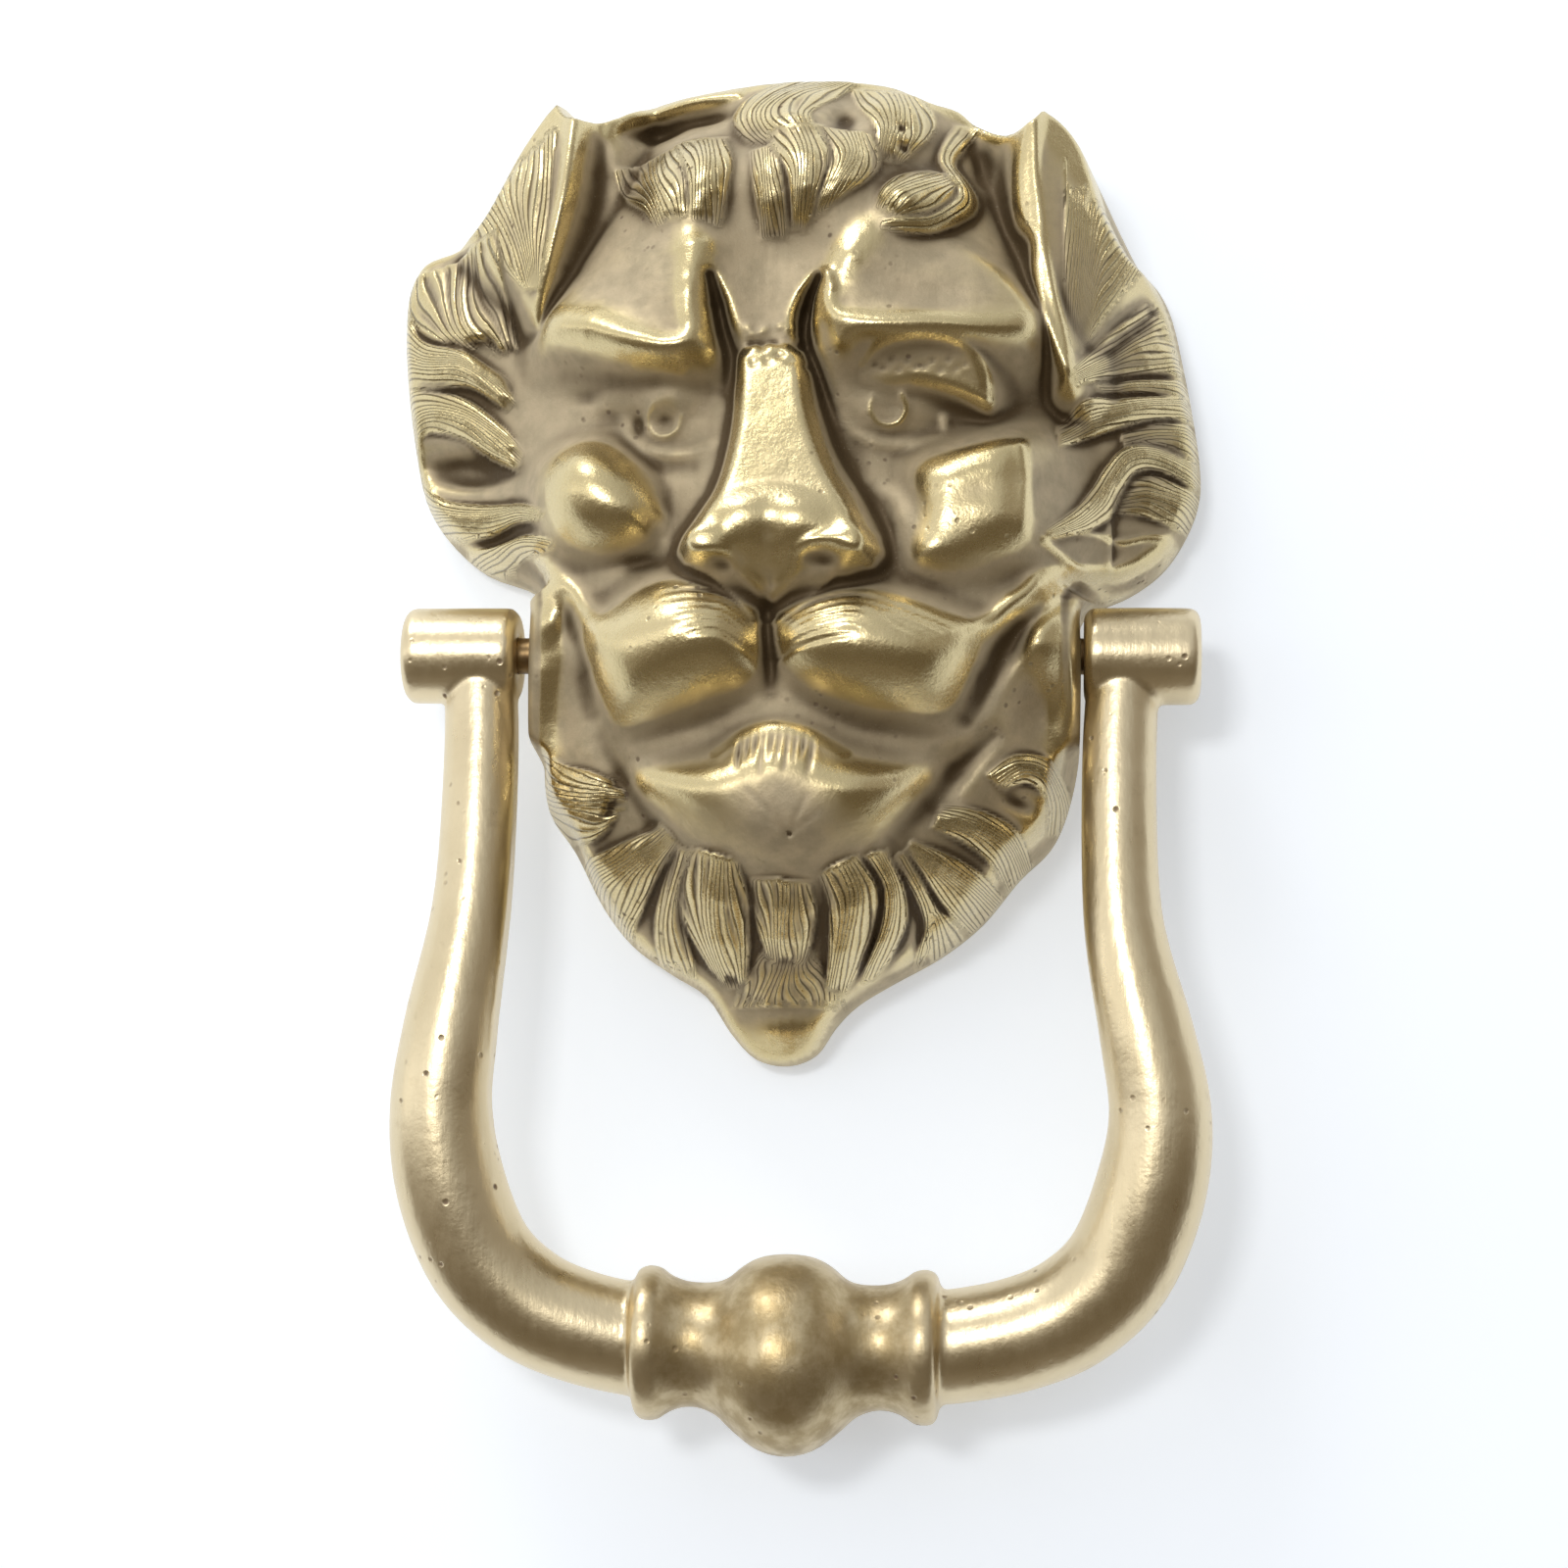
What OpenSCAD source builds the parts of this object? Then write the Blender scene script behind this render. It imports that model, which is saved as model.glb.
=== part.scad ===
// Lion mask door knocker: a hollow cast mask that bolts to the door, and a bail handle that
// swings on one rod through the lion's cheeks and knocks on the door with its lower ball.
// Frame: the door is the plane y = 0 and the lion looks towards -Y. +Z is up. The origin lies on
// the door plane, half way between the two fixing posts.

/* [Mask] */
// Height of the rim wall at the back edge
rim_h = 5; // [3:0.5:8]
// Height of the mask's field before the features are added
field_h = 23; // [18:1:28]
// Width of the rounded edge from the rim up to the field
edge_w = 14; // [8:1:20]
// Thickness of the casting
wall = 5; // [4:0.5:6]
// Width of the flat back rim
back_rim_w = 4.5; // [3:0.5:6]
// Height of the ripples in the mane
lock_h = 1.4; // [0:0.2:2]

/* [Pivot] */
// Height of the rod's axis above the door
pivot_out = 20; // [18:0.5:22]
// Distance of the rod's axis below the origin
pivot_down = 15.2; // [14:0.1:17]
// Diameter of the rod
rod_d = 6.35; // [6:0.05:6.6]
// Radial play of the rod in the cheeks
cheek_play = 0.08; // [0.05:0.01:0.1]
// Radial play of the rod in the handle's bosses
boss_play = 0.02; // [0.01:0.01:0.05]
// Half the distance across the cheeks' flat sides
cheek_half = 48.2; // [47:0.1:49]
// Diameter of the cheek lugs around the rod
lug_d = 17; // [14:0.5:18]

/* [Fixing] */
// Distance between the two fixing holes
post_spacing = 100; // [90:1:104]
// Diameter of the cast fixing posts
post_d = 13; // [11:0.5:14]
// Outside diameter of the fixing thread
fixing_d = 6; // [5:0.5:6]
// Depth of the fixing holes
fixing_depth = 14; // [10:1:16]

/* [Handle] */
// Half the distance between the bosses' inner ends
loop_half = 49.7; // [49.4:0.1:50.4]
// Length of a boss
boss_l = 20.3; // [18:0.1:21]
// Diameter of a boss
boss_d = 16.9; // [15:0.1:17.5]
// Chamfer on the bosses' ends
boss_chamfer = 1.3; // [0.5:0.1:2]
// Sideways place of the handle in its end play
handle_x = -1; // [-1.2:0.1:0]
// Sideways lean of the loop's lower half
loop_lean = 1.2; // [0:0.1:2]
// How far the arms bow out from the door
arm_bow = 6.5; // [4:0.5:9]
// Sideways place of the ball and collars in the loop
baluster_x = -1.6; // [-3:0.1:0]
// Gap between the striker and the door
striker_gap = 0.4; // [0.3:0.1:0.8]
// Diameter of the striker pad behind the ball
striker_d = 15; // [12:0.5:17]

/* [Screws] */
// Diameter of the rod locking screws
screw_d = 4; // [3:0.5:4]
// Length of the rod locking screws
screw_l = 4.2; // [3.5:0.1:4.4]
// Width across the flats of their hex sockets
socket_af = 2; // [1.5:0.5:2]

/* [Hidden] */
$fn = 64;
pivot = [0, -pivot_out, -pivot_down];

// Mask outline, clockwise from the top of the hair: [x, z]
OUTLINE = [
    [0, 89.5], [8, 89.5], [15, 88.5], [21, 86], [27, 84.5], [31, 81],
    [36.5, 78.5], [40, 82], [45, 80.5], [50, 75], [55, 64.5], [58.5, 57.5],
    [62, 53.5], [64.5, 48], [66.5, 39], [68, 31], [69.3, 22], [69.3, 15],
    [66.5, 8], [62.5, 2.5], [57, -1.5], [51.5, -4], [48.2, -7], [48.2, -15],
    [48.2, -23], [47.9, -32], [46, -41], [43, -47.5], [37.5, -53], [31, -61],
    [23.5, -67], [15.5, -71.5], [9, -75.5], [5, -79.5], [1.5, -84.5], [-3.5, -86.5],
    [-9, -85.5], [-13.5, -81], [-18, -74.5], [-24.5, -70.5], [-31.5, -65.5], [-37, -58.5],
    [-42, -49], [-47, -41.5], [-48.2, -32], [-48.2, -23], [-48.2, -15], [-48.2, -6],
    [-51, -1], [-60, 2.5], [-66.5, 8], [-71, 15.5], [-73.5, 27], [-75, 38],
    [-75.5, 47], [-75, 54], [-72, 59.5], [-65, 62], [-60, 66], [-53, 76.5],
    [-48, 83.5], [-44, 86], [-41, 82], [-37, 82], [-29.5, 86.5], [-17, 88.5], [-8, 89.5],
];
CENTRE = [-2, 12];

// Relief of the face: [x, z, half width, half height, rise]
RELIEF = [
    [-1, 8, 36, 50, 19],
    [-3, 24, 9, 18, 7], [-3, 3, 13, 9, 13],
    [-22, 42, 14, 6, 8], [20, 42, 15, 6, 8], [-20, 27, 10, 6, -7], [18, 28, 10, 6, -7],
    [-33, 14, 9, 9, 8], [31, 14, 10, 9, 7],
    [-16, -15, 13, 9, 13], [14, -15, 13, 9, 13], [-1, -28, 26, 5, -6],
    [-2, -38, 18, 10, 14], [-2, -62, 24, 10, 9],
    [-3, 68, 26, 9, 7], [-46, 68, 6, 13, 10], [45, 66, 6, 12, 10],
    [-64, 36, 8, 20, 4], [60, 30, 8, 20, 4], [-42, -47, 7, 7, 4], [40, -45, 7, 7, 4],
];
STEPS = 2;
OUTER_RINGS = 21;
INNER_RINGS = 8;

// Half of the handle's centre line, from the boss to the loop's lowest stretch:
// [distance from the middle, bow, height below the origin, radius, flatness of the inner side]
ARM = [
    [55.6, 0, -15.2, 6.7, 0.90], [55.6, 0.3, -33, 6.75, 0.90], [56.1, 0.75, -60, 7.1, 0.90],
    [59.7, 1, -81, 8.3, 0.94], [61.6, 1, -95, 8.9, 0.96], [59.9, 0.85, -108, 9.5, 1],
    [54.8, 0.55, -120.5, 9.6, 1], [46.8, 0.3, -128.2, 9.7, 1], [37.5, 0.15, -132.2, 9.7, 1],
    [27.5, 0, -134.3, 9.7, 1],
];
// Turned shape of the middle: [distance from the ball, upper radius, lower radius]
BALUSTER = [
    [25.6, 9.7, 9.7], [25.3, 11.2, 11.2], [24.6, 12.7, 12.7], [23.2, 13.2, 13.2],
    [21.6, 13, 13], [20, 11.9, 11.9], [17.8, 10.9, 11], [15, 10.5, 11], [12, 10.6, 12.1],
    [10, 11.4, 13.9], [8, 13.1, 15.6], [5.5, 14.6, 17.4], [2.8, 15.3, 18.5], [0, 15.5, 18.9],
];
BALL_AXIS_Z = -134.7;
SIDES = 22;

function spline(a, b, c, d, t) =
    0.5 * (2 * b + (c - a) * t + (2 * a - 5 * b + 4 * c - d) * t * t + (3 * b - a - 3 * c + d) * t * t * t);
function closed_spline(p, n) = let (m = len(p))
    [for (i = [0 : m - 1], k = [0 : n - 1])
        spline(p[(i + m - 1) % m], p[i], p[(i + 1) % m], p[(i + 2) % m], k / n)];
function open_spline(p, n) = let (m = len(p))
    [for (i = [0 : m - 2], k = [0 : n - 1])
        spline(p[max(i - 1, 0)], p[i], p[i + 1], p[min(i + 2, m - 1)], k / n)];
function smooth(t) = let (u = min(max(t, 0), 1)) u * u * (3 - 2 * u);
function bell(x, z, f) = f[4] * exp(-pow((x - f[0]) / f[2], 2) - pow((z - f[1]) / f[3], 2));
function total(v, i = 0) = i == len(v) ? 0 : v[i] + total(v, i + 1);
function quarter(t) = sqrt(1 - pow(1 - min(max(t, 0), 1), 2));

// Waves of the mane, which fade towards the face
function locks(x, z) = let (d = [x, z] - CENTRE, a = atan2(d[0], d[1]), r = norm(d))
    lock_h * sin(a * 13 + r * 5) * smooth((r - 42) / 14) * smooth((z + 8) / 12)
    + lock_h * sin(x * 20) * smooth((-48 - z) / 10);
function field(x, z) = field_h + total([for (f = RELIEF) bell(x, z, f)]);
function depth(p, s) = (1 - s) * norm(p - CENTRE);
function outer_h(p, q, s) = rim_h + (field(q[0], q[1]) + locks(q[0], q[1]) - rim_h) * quarter(depth(p, s) / edge_w);
function inner_h(p, q, s) = (field(q[0], q[1]) - wall) * quarter(depth(p, s) / edge_w);
function toward(p, s) = CENTRE + s * (p - CENTRE);
function solid_point(q, h) = [q[0], -h, q[1]];

// The mask's skin: back rim, outer face and hollow, as one closed surface
module mask_shell() {
    outline = closed_spline(OUTLINE, STEPS);
    back = [for (p = outline) let (d = p - CENTRE) CENTRE + d * (1 - back_rim_w / norm(d))];
    n = len(outline);
    outer_s = [for (k = [0 : OUTER_RINGS - 1]) 1 - k / OUTER_RINGS];
    inner_s = [for (k = [0 : INNER_RINGS - 1]) 1 - k / INNER_RINGS];
    outer = [for (s = outer_s, p = outline) let (q = toward(p, s)) solid_point(q, outer_h(p, q, s))];
    inner = [for (s = inner_s, p = back) let (q = toward(p, s)) solid_point(q, s == 1 ? 0 : inner_h(p, q, s))];
    rim = [for (p = outline) solid_point(p, 0)];
    tip = solid_point(CENTRE, field(CENTRE[0], CENTRE[1]));
    pit = solid_point(CENTRE, field(CENTRE[0], CENTRE[1]) - wall);
    points = concat(rim, outer, inner, [tip, pit]);
    first_inner = n * (1 + len(outer_s));
    last_outer = n * len(outer_s);
    last_inner = first_inner + n * (len(inner_s) - 1);
    top = len(points) - 2;
    faces = concat(
        [for (k = [0 : len(outer_s) - 1], i = [0 : n - 1]) each quad(k * n, (k + 1) * n, i, n)],
        [for (i = [0 : n - 1]) [last_outer + i, last_outer + (i + 1) % n, top]],
        [for (k = [0 : len(inner_s) - 2], i = [0 : n - 1])
            each quad(first_inner + (k + 1) * n, first_inner + k * n, i, n)],
        [for (i = [0 : n - 1]) [last_inner + i, top + 1, last_inner + (i + 1) % n]],
        [for (i = [0 : n - 1]) each quad(first_inner, 0, i, n)]
    );
    polyhedron(points, faces, convexity = 6);
}
// Two triangles between ring a and ring b of n points
function quad(a, b, i, n) = let (j = (i + 1) % n) [[a + i, b + j, b + i], [a + i, a + j, b + j]];

module along_x(l, d, chamfer = 0) {
    rotate([0, 90, 0]) rotate_extrude()
        polygon([[0, -l / 2], [d / 2 - chamfer, -l / 2], [d / 2, -l / 2 + chamfer],
            [d / 2, l / 2 - chamfer], [d / 2 - chamfer, l / 2], [0, l / 2]]);
}
module along_y(l, d) { rotate([-90, 0, 0]) cylinder(h = l, d = d); }

module lion_mask() {
    lug_l = 14;
    post_l = 30;
    color([0.66, 0.58, 0.36]) difference() {
        union() {
            mask_shell();
            for (side = [-1, 1]) translate(pivot + [side * (cheek_half - lug_l / 2), 0, 0]) along_x(lug_l, lug_d, 1);
            for (side = [-1, 1]) translate([0, -post_l, side * post_spacing / 2]) along_y(post_l, post_d);
        }
        translate(pivot) along_x(4 * cheek_half, rod_d + 2 * cheek_play);
        for (side = [-1, 1])
            translate([0, -fixing_depth, side * post_spacing / 2]) along_y(fixing_depth + 1, fixing_d);
    }
}

// Centre line, radii and flatness of the whole loop, from the left boss to the right one
function half_loop(side) = [for (a = open_spline(concat(ARM, [[22, 0, BALL_AXIS_Z, 9.7, 1]]), 3))
    let (lean = loop_lean * smooth((-60 - a[2]) / 40))
    [[side * a[0] + handle_x + lean * smooth(abs(a[0]) / 30), -pivot_out - arm_bow * a[1], a[2]], [a[3], a[3], a[4]]]];
function middle(side) = [for (a = open_spline(BALUSTER, 2))
    [[side * a[0] + baluster_x, -pivot_out, BALL_AXIS_Z], [a[1], a[2], 1]]];
function reversed(v) = [for (i = [len(v) - 1 : -1 : 0]) v[i]];
function section(centre, tangent, r) = let (
    inward = cross(tangent, [0, 1, 0]) / norm(cross(tangent, [0, 1, 0])),
    doorward = cross(inward, tangent))
    [for (k = [0 : SIDES - 1]) let (
        a = 360 * k / SIDES,
        full = r[1] + (r[0] - r[1]) * smooth((1 + cos(a)) / 2),
        d = cos(a) > 0 ? min(full, r[2] * full / cos(a)) : full)
        centre + d * (cos(a) * inward + sin(a) * doorward)];
module loop() {
    arm_l = [for (a = half_loop(-1)) if (a[0][0] < baluster_x - BALUSTER[0][0] - 0.3) a];
    arm_r = [for (a = half_loop(1)) if (a[0][0] > baluster_x + BALUSTER[0][0] + 0.3) a];
    ball = [[baluster_x, -pivot_out, BALL_AXIS_Z], [BALUSTER[len(BALUSTER) - 1][1], BALUSTER[len(BALUSTER) - 1][2], 1]];
    path = concat(arm_l, middle(-1), [ball], reversed(middle(1)), reversed(arm_r));
    last = len(path) - 1;
    rings = [for (i = [0 : last]) section(path[i][0],
        unit(path[min(i + 1, last)][0] - path[max(i - 1, 0)][0]), path[i][1])];
    points = concat([for (ring = rings) each ring], [path[0][0], path[last][0]]);
    n = SIDES;
    faces = concat(
        [for (i = [0 : last - 1], k = [0 : n - 1]) each quad(i * n, (i + 1) * n, k, n)],
        [for (k = [0 : n - 1]) [(last + 1) * n, (k + 1) % n, k]],
        [for (k = [0 : n - 1]) [(last + 1) * n + 1, last * n + k, last * n + (k + 1) % n]]
    );
    polyhedron(points, faces, convexity = 6);
}
function unit(v) = v / norm(v);

module at_bosses() {
    for (side = [-1, 1]) translate([handle_x + side * (loop_half + boss_l / 2), pivot[1], pivot[2]]) children();
}

module bail() {
    color([0.72, 0.62, 0.44]) difference() {
        union() {
            loop();
            at_bosses() along_x(boss_l, boss_d, boss_chamfer);
            translate([baluster_x, -pivot_out, BALL_AXIS_Z - 2]) rotate([-90, 0, 0])
                cylinder(h = pivot_out - striker_gap, d1 = 2 * striker_d, d2 = striker_d);
        }
        at_bosses() along_x(2 * boss_l, rod_d + 2 * boss_play);
        at_bosses() along_y(boss_d, screw_d + 2 * boss_play);
    }
}

module pivot_rod() {
    rod_l = 2 * (loop_half + boss_l) - 1;
    color([0.55, 0.48, 0.34]) translate([handle_x, pivot[1], pivot[2]]) along_x(rod_l, rod_d, 0.5);
}

module rod_locking_screws() {
    socket_depth = 1.8;
    point_gap = 0.02;
    color([0.35, 0.34, 0.33]) at_bosses() translate([0, rod_d / 2 + point_gap, 0]) difference() {
        along_y(screw_l, screw_d);
        translate([0, screw_l - socket_depth, 0]) rotate([-90, 0, 0])
            cylinder(h = socket_depth + 1, d = socket_af / cos(30), $fn = 6);
    }
}

lion_mask();
bail();
pivot_rod();
rod_locking_screws();
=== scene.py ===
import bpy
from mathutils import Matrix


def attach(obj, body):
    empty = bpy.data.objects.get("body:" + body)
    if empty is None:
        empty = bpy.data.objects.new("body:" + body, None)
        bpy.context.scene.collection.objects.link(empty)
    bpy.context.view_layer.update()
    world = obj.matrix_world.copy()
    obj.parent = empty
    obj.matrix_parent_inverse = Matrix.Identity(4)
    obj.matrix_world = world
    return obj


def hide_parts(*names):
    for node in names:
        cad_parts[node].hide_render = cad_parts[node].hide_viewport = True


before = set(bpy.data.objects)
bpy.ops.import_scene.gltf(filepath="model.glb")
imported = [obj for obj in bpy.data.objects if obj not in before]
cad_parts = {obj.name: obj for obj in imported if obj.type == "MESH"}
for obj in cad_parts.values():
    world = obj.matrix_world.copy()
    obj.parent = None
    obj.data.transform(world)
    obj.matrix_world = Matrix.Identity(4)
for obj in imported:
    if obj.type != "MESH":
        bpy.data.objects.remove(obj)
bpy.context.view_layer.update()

import bmesh
import bpy
import numpy as np
from mathutils import Matrix, Vector

# Frame: metres, the door is the plane y = 0, the lion looks towards -Y, +Z is up.
# Shapes are worked out in millimetres with heights above the door, and turned into metres once.
MM = 0.001
PIVOT_OUT = 20.0
PIVOT_DOWN = 15.2
BORE_R = 3.3

# ---------------------------------------------------------------- carving a relief, in millimetres
STEP = 0.4
SPAN_X = (-80.0, 76.0)
SPAN_Z = (-91.0, 94.0)
COARSE = 5
TUFT_STEPS = 150
TUFT_FINENESS = 2.4


def spline(points, per=8, closed=False):
    """A smooth line through given points."""
    p = np.asarray(points, float)
    count = len(p)
    t = np.linspace(0, 1, per, endpoint=False)[:, None]
    out = []
    for i in range(count if closed else count - 1):
        if closed:
            a, b, c, d = (p[(i + k) % count] for k in (-1, 0, 1, 2))
        else:
            a, b, c, d = p[max(i - 1, 0)], p[i], p[i + 1], p[min(i + 2, count - 1)]
        out.append(0.5 * (2 * b + (c - a) * t + (2 * a - 5 * b + 4 * c - d) * t**2
                          + (3 * b - a - 3 * c + d) * t**3))
    if not closed:
        out.append(p[-1:])
    return np.concatenate(out)


def smooth(t):
    t = np.clip(t, 0, 1)
    return t * t * (3 - 2 * t)


def blend_max(a, b, soft):
    gap = np.maximum(soft - np.abs(a - b), 0) / soft
    return np.maximum(a, b) + gap * gap * soft / 4


def blend_min(a, b, soft):
    return -blend_max(-a, -b, soft)


def at(stops, s):
    """Values set at equal steps along a line, read at s from 0 to 1."""
    stops = np.atleast_1d(stops)
    if len(stops) == 1:
        return np.full_like(s, stops[0])
    return np.interp(s, np.linspace(0, 1, len(stops)), stops)


def measure(x, z, line):
    """Place along the line, 0 to 1, and distance from it, positive on its left."""
    best = np.full(x.shape, np.inf)
    along = np.zeros(x.shape)
    side = np.ones(x.shape)
    steps = np.hypot(*np.diff(line, axis=0).T)
    start = np.concatenate([[0], np.cumsum(steps)])
    for (ax, az), (bx, bz), length, s0 in zip(line[:-1], line[1:], steps, start):
        ux, uz = (bx - ax) / length, (bz - az) / length
        px, pz = x - ax, z - az
        f = np.clip(px * ux + pz * uz, 0, length)
        d2 = (px - f * ux)**2 + (pz - f * uz)**2
        near = d2 < best
        best = np.where(near, d2, best)
        along = np.where(near, (s0 + f) / start[-1], along)
        side = np.where(near, np.sign(ux * pz - uz * px), side)
    return along, side * np.sqrt(best)


def even(line, count):
    """The line read at equal steps of its length."""
    run = np.concatenate([[0], np.cumsum(np.hypot(*np.diff(line, axis=0).T))])
    want = np.linspace(0, run[-1], count)
    return np.stack([np.interp(want, run, line[:, 0]), np.interp(want, run, line[:, 1])], 1)


def inside_distance(x, z, ring):
    """Distance to a closed outline, positive inside."""
    ring = np.asarray(ring, float)
    closed = np.vstack([ring, ring[:1]])
    best = np.full(x.shape, np.inf)
    inside = np.zeros(x.shape, bool)
    for (ax, az), (bx, bz) in zip(closed[:-1], closed[1:]):
        dx, dz = bx - ax, bz - az
        f = np.clip(((x - ax) * dx + (z - az) * dz) / (dx * dx + dz * dz), 0, 1)
        best = np.minimum(best, (x - ax - f * dx)**2 + (z - az - f * dz)**2)
        if az != bz:
            cross = ((az > z) != (bz > z)) & (x < (bx - ax) * (z - az) / (bz - az) + ax)
            inside ^= cross
    return np.where(inside, 1, -1) * np.sqrt(best)


def blur(a, radius):
    """Soft blur by three passes of a running mean."""
    cells = max(1, int(round(radius / STEP)))
    for _ in range(3):
        for axis in (0, 1):
            pad = [(0, 0), (0, 0)]
            pad[axis] = (cells + 1, cells)
            total = np.cumsum(np.pad(a, pad, mode="edge"), axis=axis)
            size = a.shape[axis]
            high = np.take(total, range(2 * cells + 1, 2 * cells + 1 + size), axis=axis)
            low = np.take(total, range(size), axis=axis)
            a = (high - low) / (2 * cells + 1)
    return a


def between(values, i, j):
    """Read a raster between its cells, at rows i and columns j that needn't be whole."""
    i = np.clip(i, 0, values.shape[0] - 1.001)
    j = np.clip(j, 0, values.shape[1] - 1.001)
    i0, j0 = i.astype(int), j.astype(int)
    fi, fj = i - i0, j - j0
    return ((1 - fi) * (1 - fj) * values[i0, j0] + fi * (1 - fj) * values[i0 + 1, j0]
            + (1 - fi) * fj * values[i0, j0 + 1] + fi * fj * values[i0 + 1, j0 + 1])


class Relief:
    """Heights above the door over a fine raster, with how brightly each place is rubbed.

    strand counts the combed strands across a tuft, and hair is 1 where there are any."""

    def __init__(self):
        self.x = np.arange(SPAN_X[0], SPAN_X[1] + STEP / 2, STEP)
        self.z = np.arange(SPAN_Z[0], SPAN_Z[1] + STEP / 2, STEP)
        self.X, self.Z = np.meshgrid(self.x, self.z)
        self.H, self.bright, self.strand, self.hair = (np.zeros(self.X.shape) for _ in range(4))
        self.base = self.H

    def fill_in(self, coarse, skip):
        """Coarse values spread over the whole raster."""
        return between(coarse, np.arange(len(self.z))[:, None] / skip, np.arange(len(self.x))[None] / skip)

    def read(self, values, x, z):
        """One of the rasters read at places x, z."""
        return between(values, (z - self.z[0]) / STEP, (x - self.x[0]) / STEP)

    def distance_inside(self, outline):
        """Distance inside the outline over the whole raster, worked out coarsely."""
        skip = 4
        return self.fill_in(inside_distance(self.X[::skip, ::skip], self.Z[::skip, ::skip], outline), skip)

    def drape(self, places):
        """The smoothest surface through given places (x, z, height)."""
        x, z, h = np.asarray(places, float).T

        def bend(dx, dz):
            d2 = dx * dx + dz * dz
            return d2 * np.log(d2 + 1e-9)

        flat = np.stack([np.ones_like(x), x, z], 1)
        count = len(x)
        ease = 30 * np.eye(count)
        grid = np.block([[bend(x[:, None] - x, z[:, None] - z) + ease, flat], [flat.T, np.zeros((3, 3))]])
        weights = np.linalg.solve(grid, np.concatenate([h, np.zeros(3)]))
        X, Z = self.X[::COARSE, ::COARSE], self.Z[::COARSE, ::COARSE]
        top = weights[count] + weights[count + 1] * X + weights[count + 2] * Z
        for px, pz, weight in zip(x, z, weights):
            top = top + weight * bend(X - px, Z - pz)
        self.H = self.fill_in(top, COARSE)

    def window(self, points, margin):
        p = np.asarray(points, float)
        lo, hi = p.min(0) - margin, p.max(0) + margin
        cols = slice(*np.searchsorted(self.x, (lo[0], hi[0])))
        rows = slice(*np.searchsorted(self.z, (lo[1], hi[1])))
        return rows, cols

    def oval(self, x, z, wide, high, turn):
        """Squared distance from the middle of a turned oval, 1 at its edge."""
        a = np.radians(turn)
        u = ((self.X - x) * np.cos(a) + (self.Z - z) * np.sin(a)) / wide
        v = (-(self.X - x) * np.sin(a) + (self.Z - z) * np.cos(a)) / high
        return u * u + v * v

    def swell(self, x, z, wide, high, rise, turn=0.0, power=1.0):
        """A soft rise or hollow; power above 1 flattens its top."""
        self.H = self.H + rise * np.exp(-self.oval(x, z, wide, high, turn)**power)

    def polish(self, x, z, wide, high, amount, turn=0.0):
        """Where cloths have rubbed the skin off (or, below nought, have missed it)."""
        self.bright = self.bright + amount * np.exp(-self.oval(x, z, wide, high, turn))

    def ridge(self, points, width, rise, bright=0.0):
        """A raised line, or a groove where rise is negative."""
        line = spline(points)
        w = self.window(points, 3.2 * np.max(np.abs(width)))
        s, t = measure(self.X[w], self.Z[w], line)
        bell = np.exp(-(t / at(width, s))**2)
        self.H[w] += at(rise, s) * bell
        if bright:
            self.bright[w] = np.maximum(self.bright[w], bright * smooth(2 * bell - 0.6))

    def block(self, ring, height, place, tilt, crown=0.0, round_by=2.0, steep=1.6, soft=1.5, bright=1.0):
        """A worn flat facet: a tilted plane with rounded edges, cut off by its outline."""
        w = self.window(ring, 14)
        d = inside_distance(self.X[w], self.Z[w], spline(ring, 3, closed=True))
        u = round_by - d
        fall = np.where(u < 0, 0, np.where(u < round_by, u * u / (2 * round_by), u - round_by / 2)) * steep
        dx, dz = self.X[w] - place[0], self.Z[w] - place[1]
        plane = height + tilt[0] * dx + tilt[1] * dz - crown * (dx * dx + dz * dz) / 100
        top = plane - blur(fall, 0.22 * round_by)
        self.H[w] = blend_max(self.H[w], top, soft)
        over = smooth((top - self.H[w] + 0.6) / 0.5)
        self.bright[w] = np.maximum(self.bright[w], bright * smooth(d / 1.2 + 0.6) * over)

    def tuft(self, left, right, rise, strands, groove, bright, swing=0.0, ragged=0.1, round_top=0.5,
             soft=0.8, sink=1.0):
        """A tuft of hair combed from its root to its tip between two lines.

        groove is the depth between strands, swing their drift across, ragged how uneven their tips are.
        soft and sink say how it merges with the form under it."""
        a, b = (even(spline(side), TUFT_STEPS) for side in (left, right))
        across = max(60, int(np.hypot(*(a - b).T).max() / STEP * TUFT_FINENESS))
        along = int(np.hypot(*np.diff(a, axis=0).T).sum() / STEP * TUFT_FINENESS + 40)
        u = np.linspace(0, 1, across)[None, :]
        s = np.linspace(0, 1, along)[:, None]
        known = np.linspace(0, 1, TUFT_STEPS)
        ax, az, bx, bz = (np.interp(s[:, 0], known, v)[:, None] for v in (*a.T, *b.T))
        px, pz = ax + u * (bx - ax), az + u * (bz - az)
        phase = strands * (u + 0.05 * np.sin(5 * s + 9 * u) + swing * s * (1 - s))
        # a fixed even scatter from 0 to 1, one value a strand
        chance = np.sin(np.floor(phase) * 12.9898 + strands * 4.1) * 43758.5453
        chance = chance - np.floor(chance)
        comb = np.abs(np.sin(np.pi * phase))**0.55
        body = np.maximum(1 - (2 * u - 1)**2, 0)**round_top
        tip = smooth((1 - s - ragged * chance) / 0.10 + 0.35)
        ends = smooth(s / 0.10 + 0.15) * smooth((1 - s) / 0.06 + 0.3)
        top = ((at(rise, s) + sink) * body * (0.35 + 0.65 * tip) - sink - groove * (1 - comb) * ends
               + 0.30 * groove * (chance - 0.5))
        shine = bright * (0.35 + 0.65 * comb) * body * (0.7 + 0.6 * (chance - 0.5)) * ends
        combed = smooth(body * 2.5) * smooth(ends * 1.4)

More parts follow.
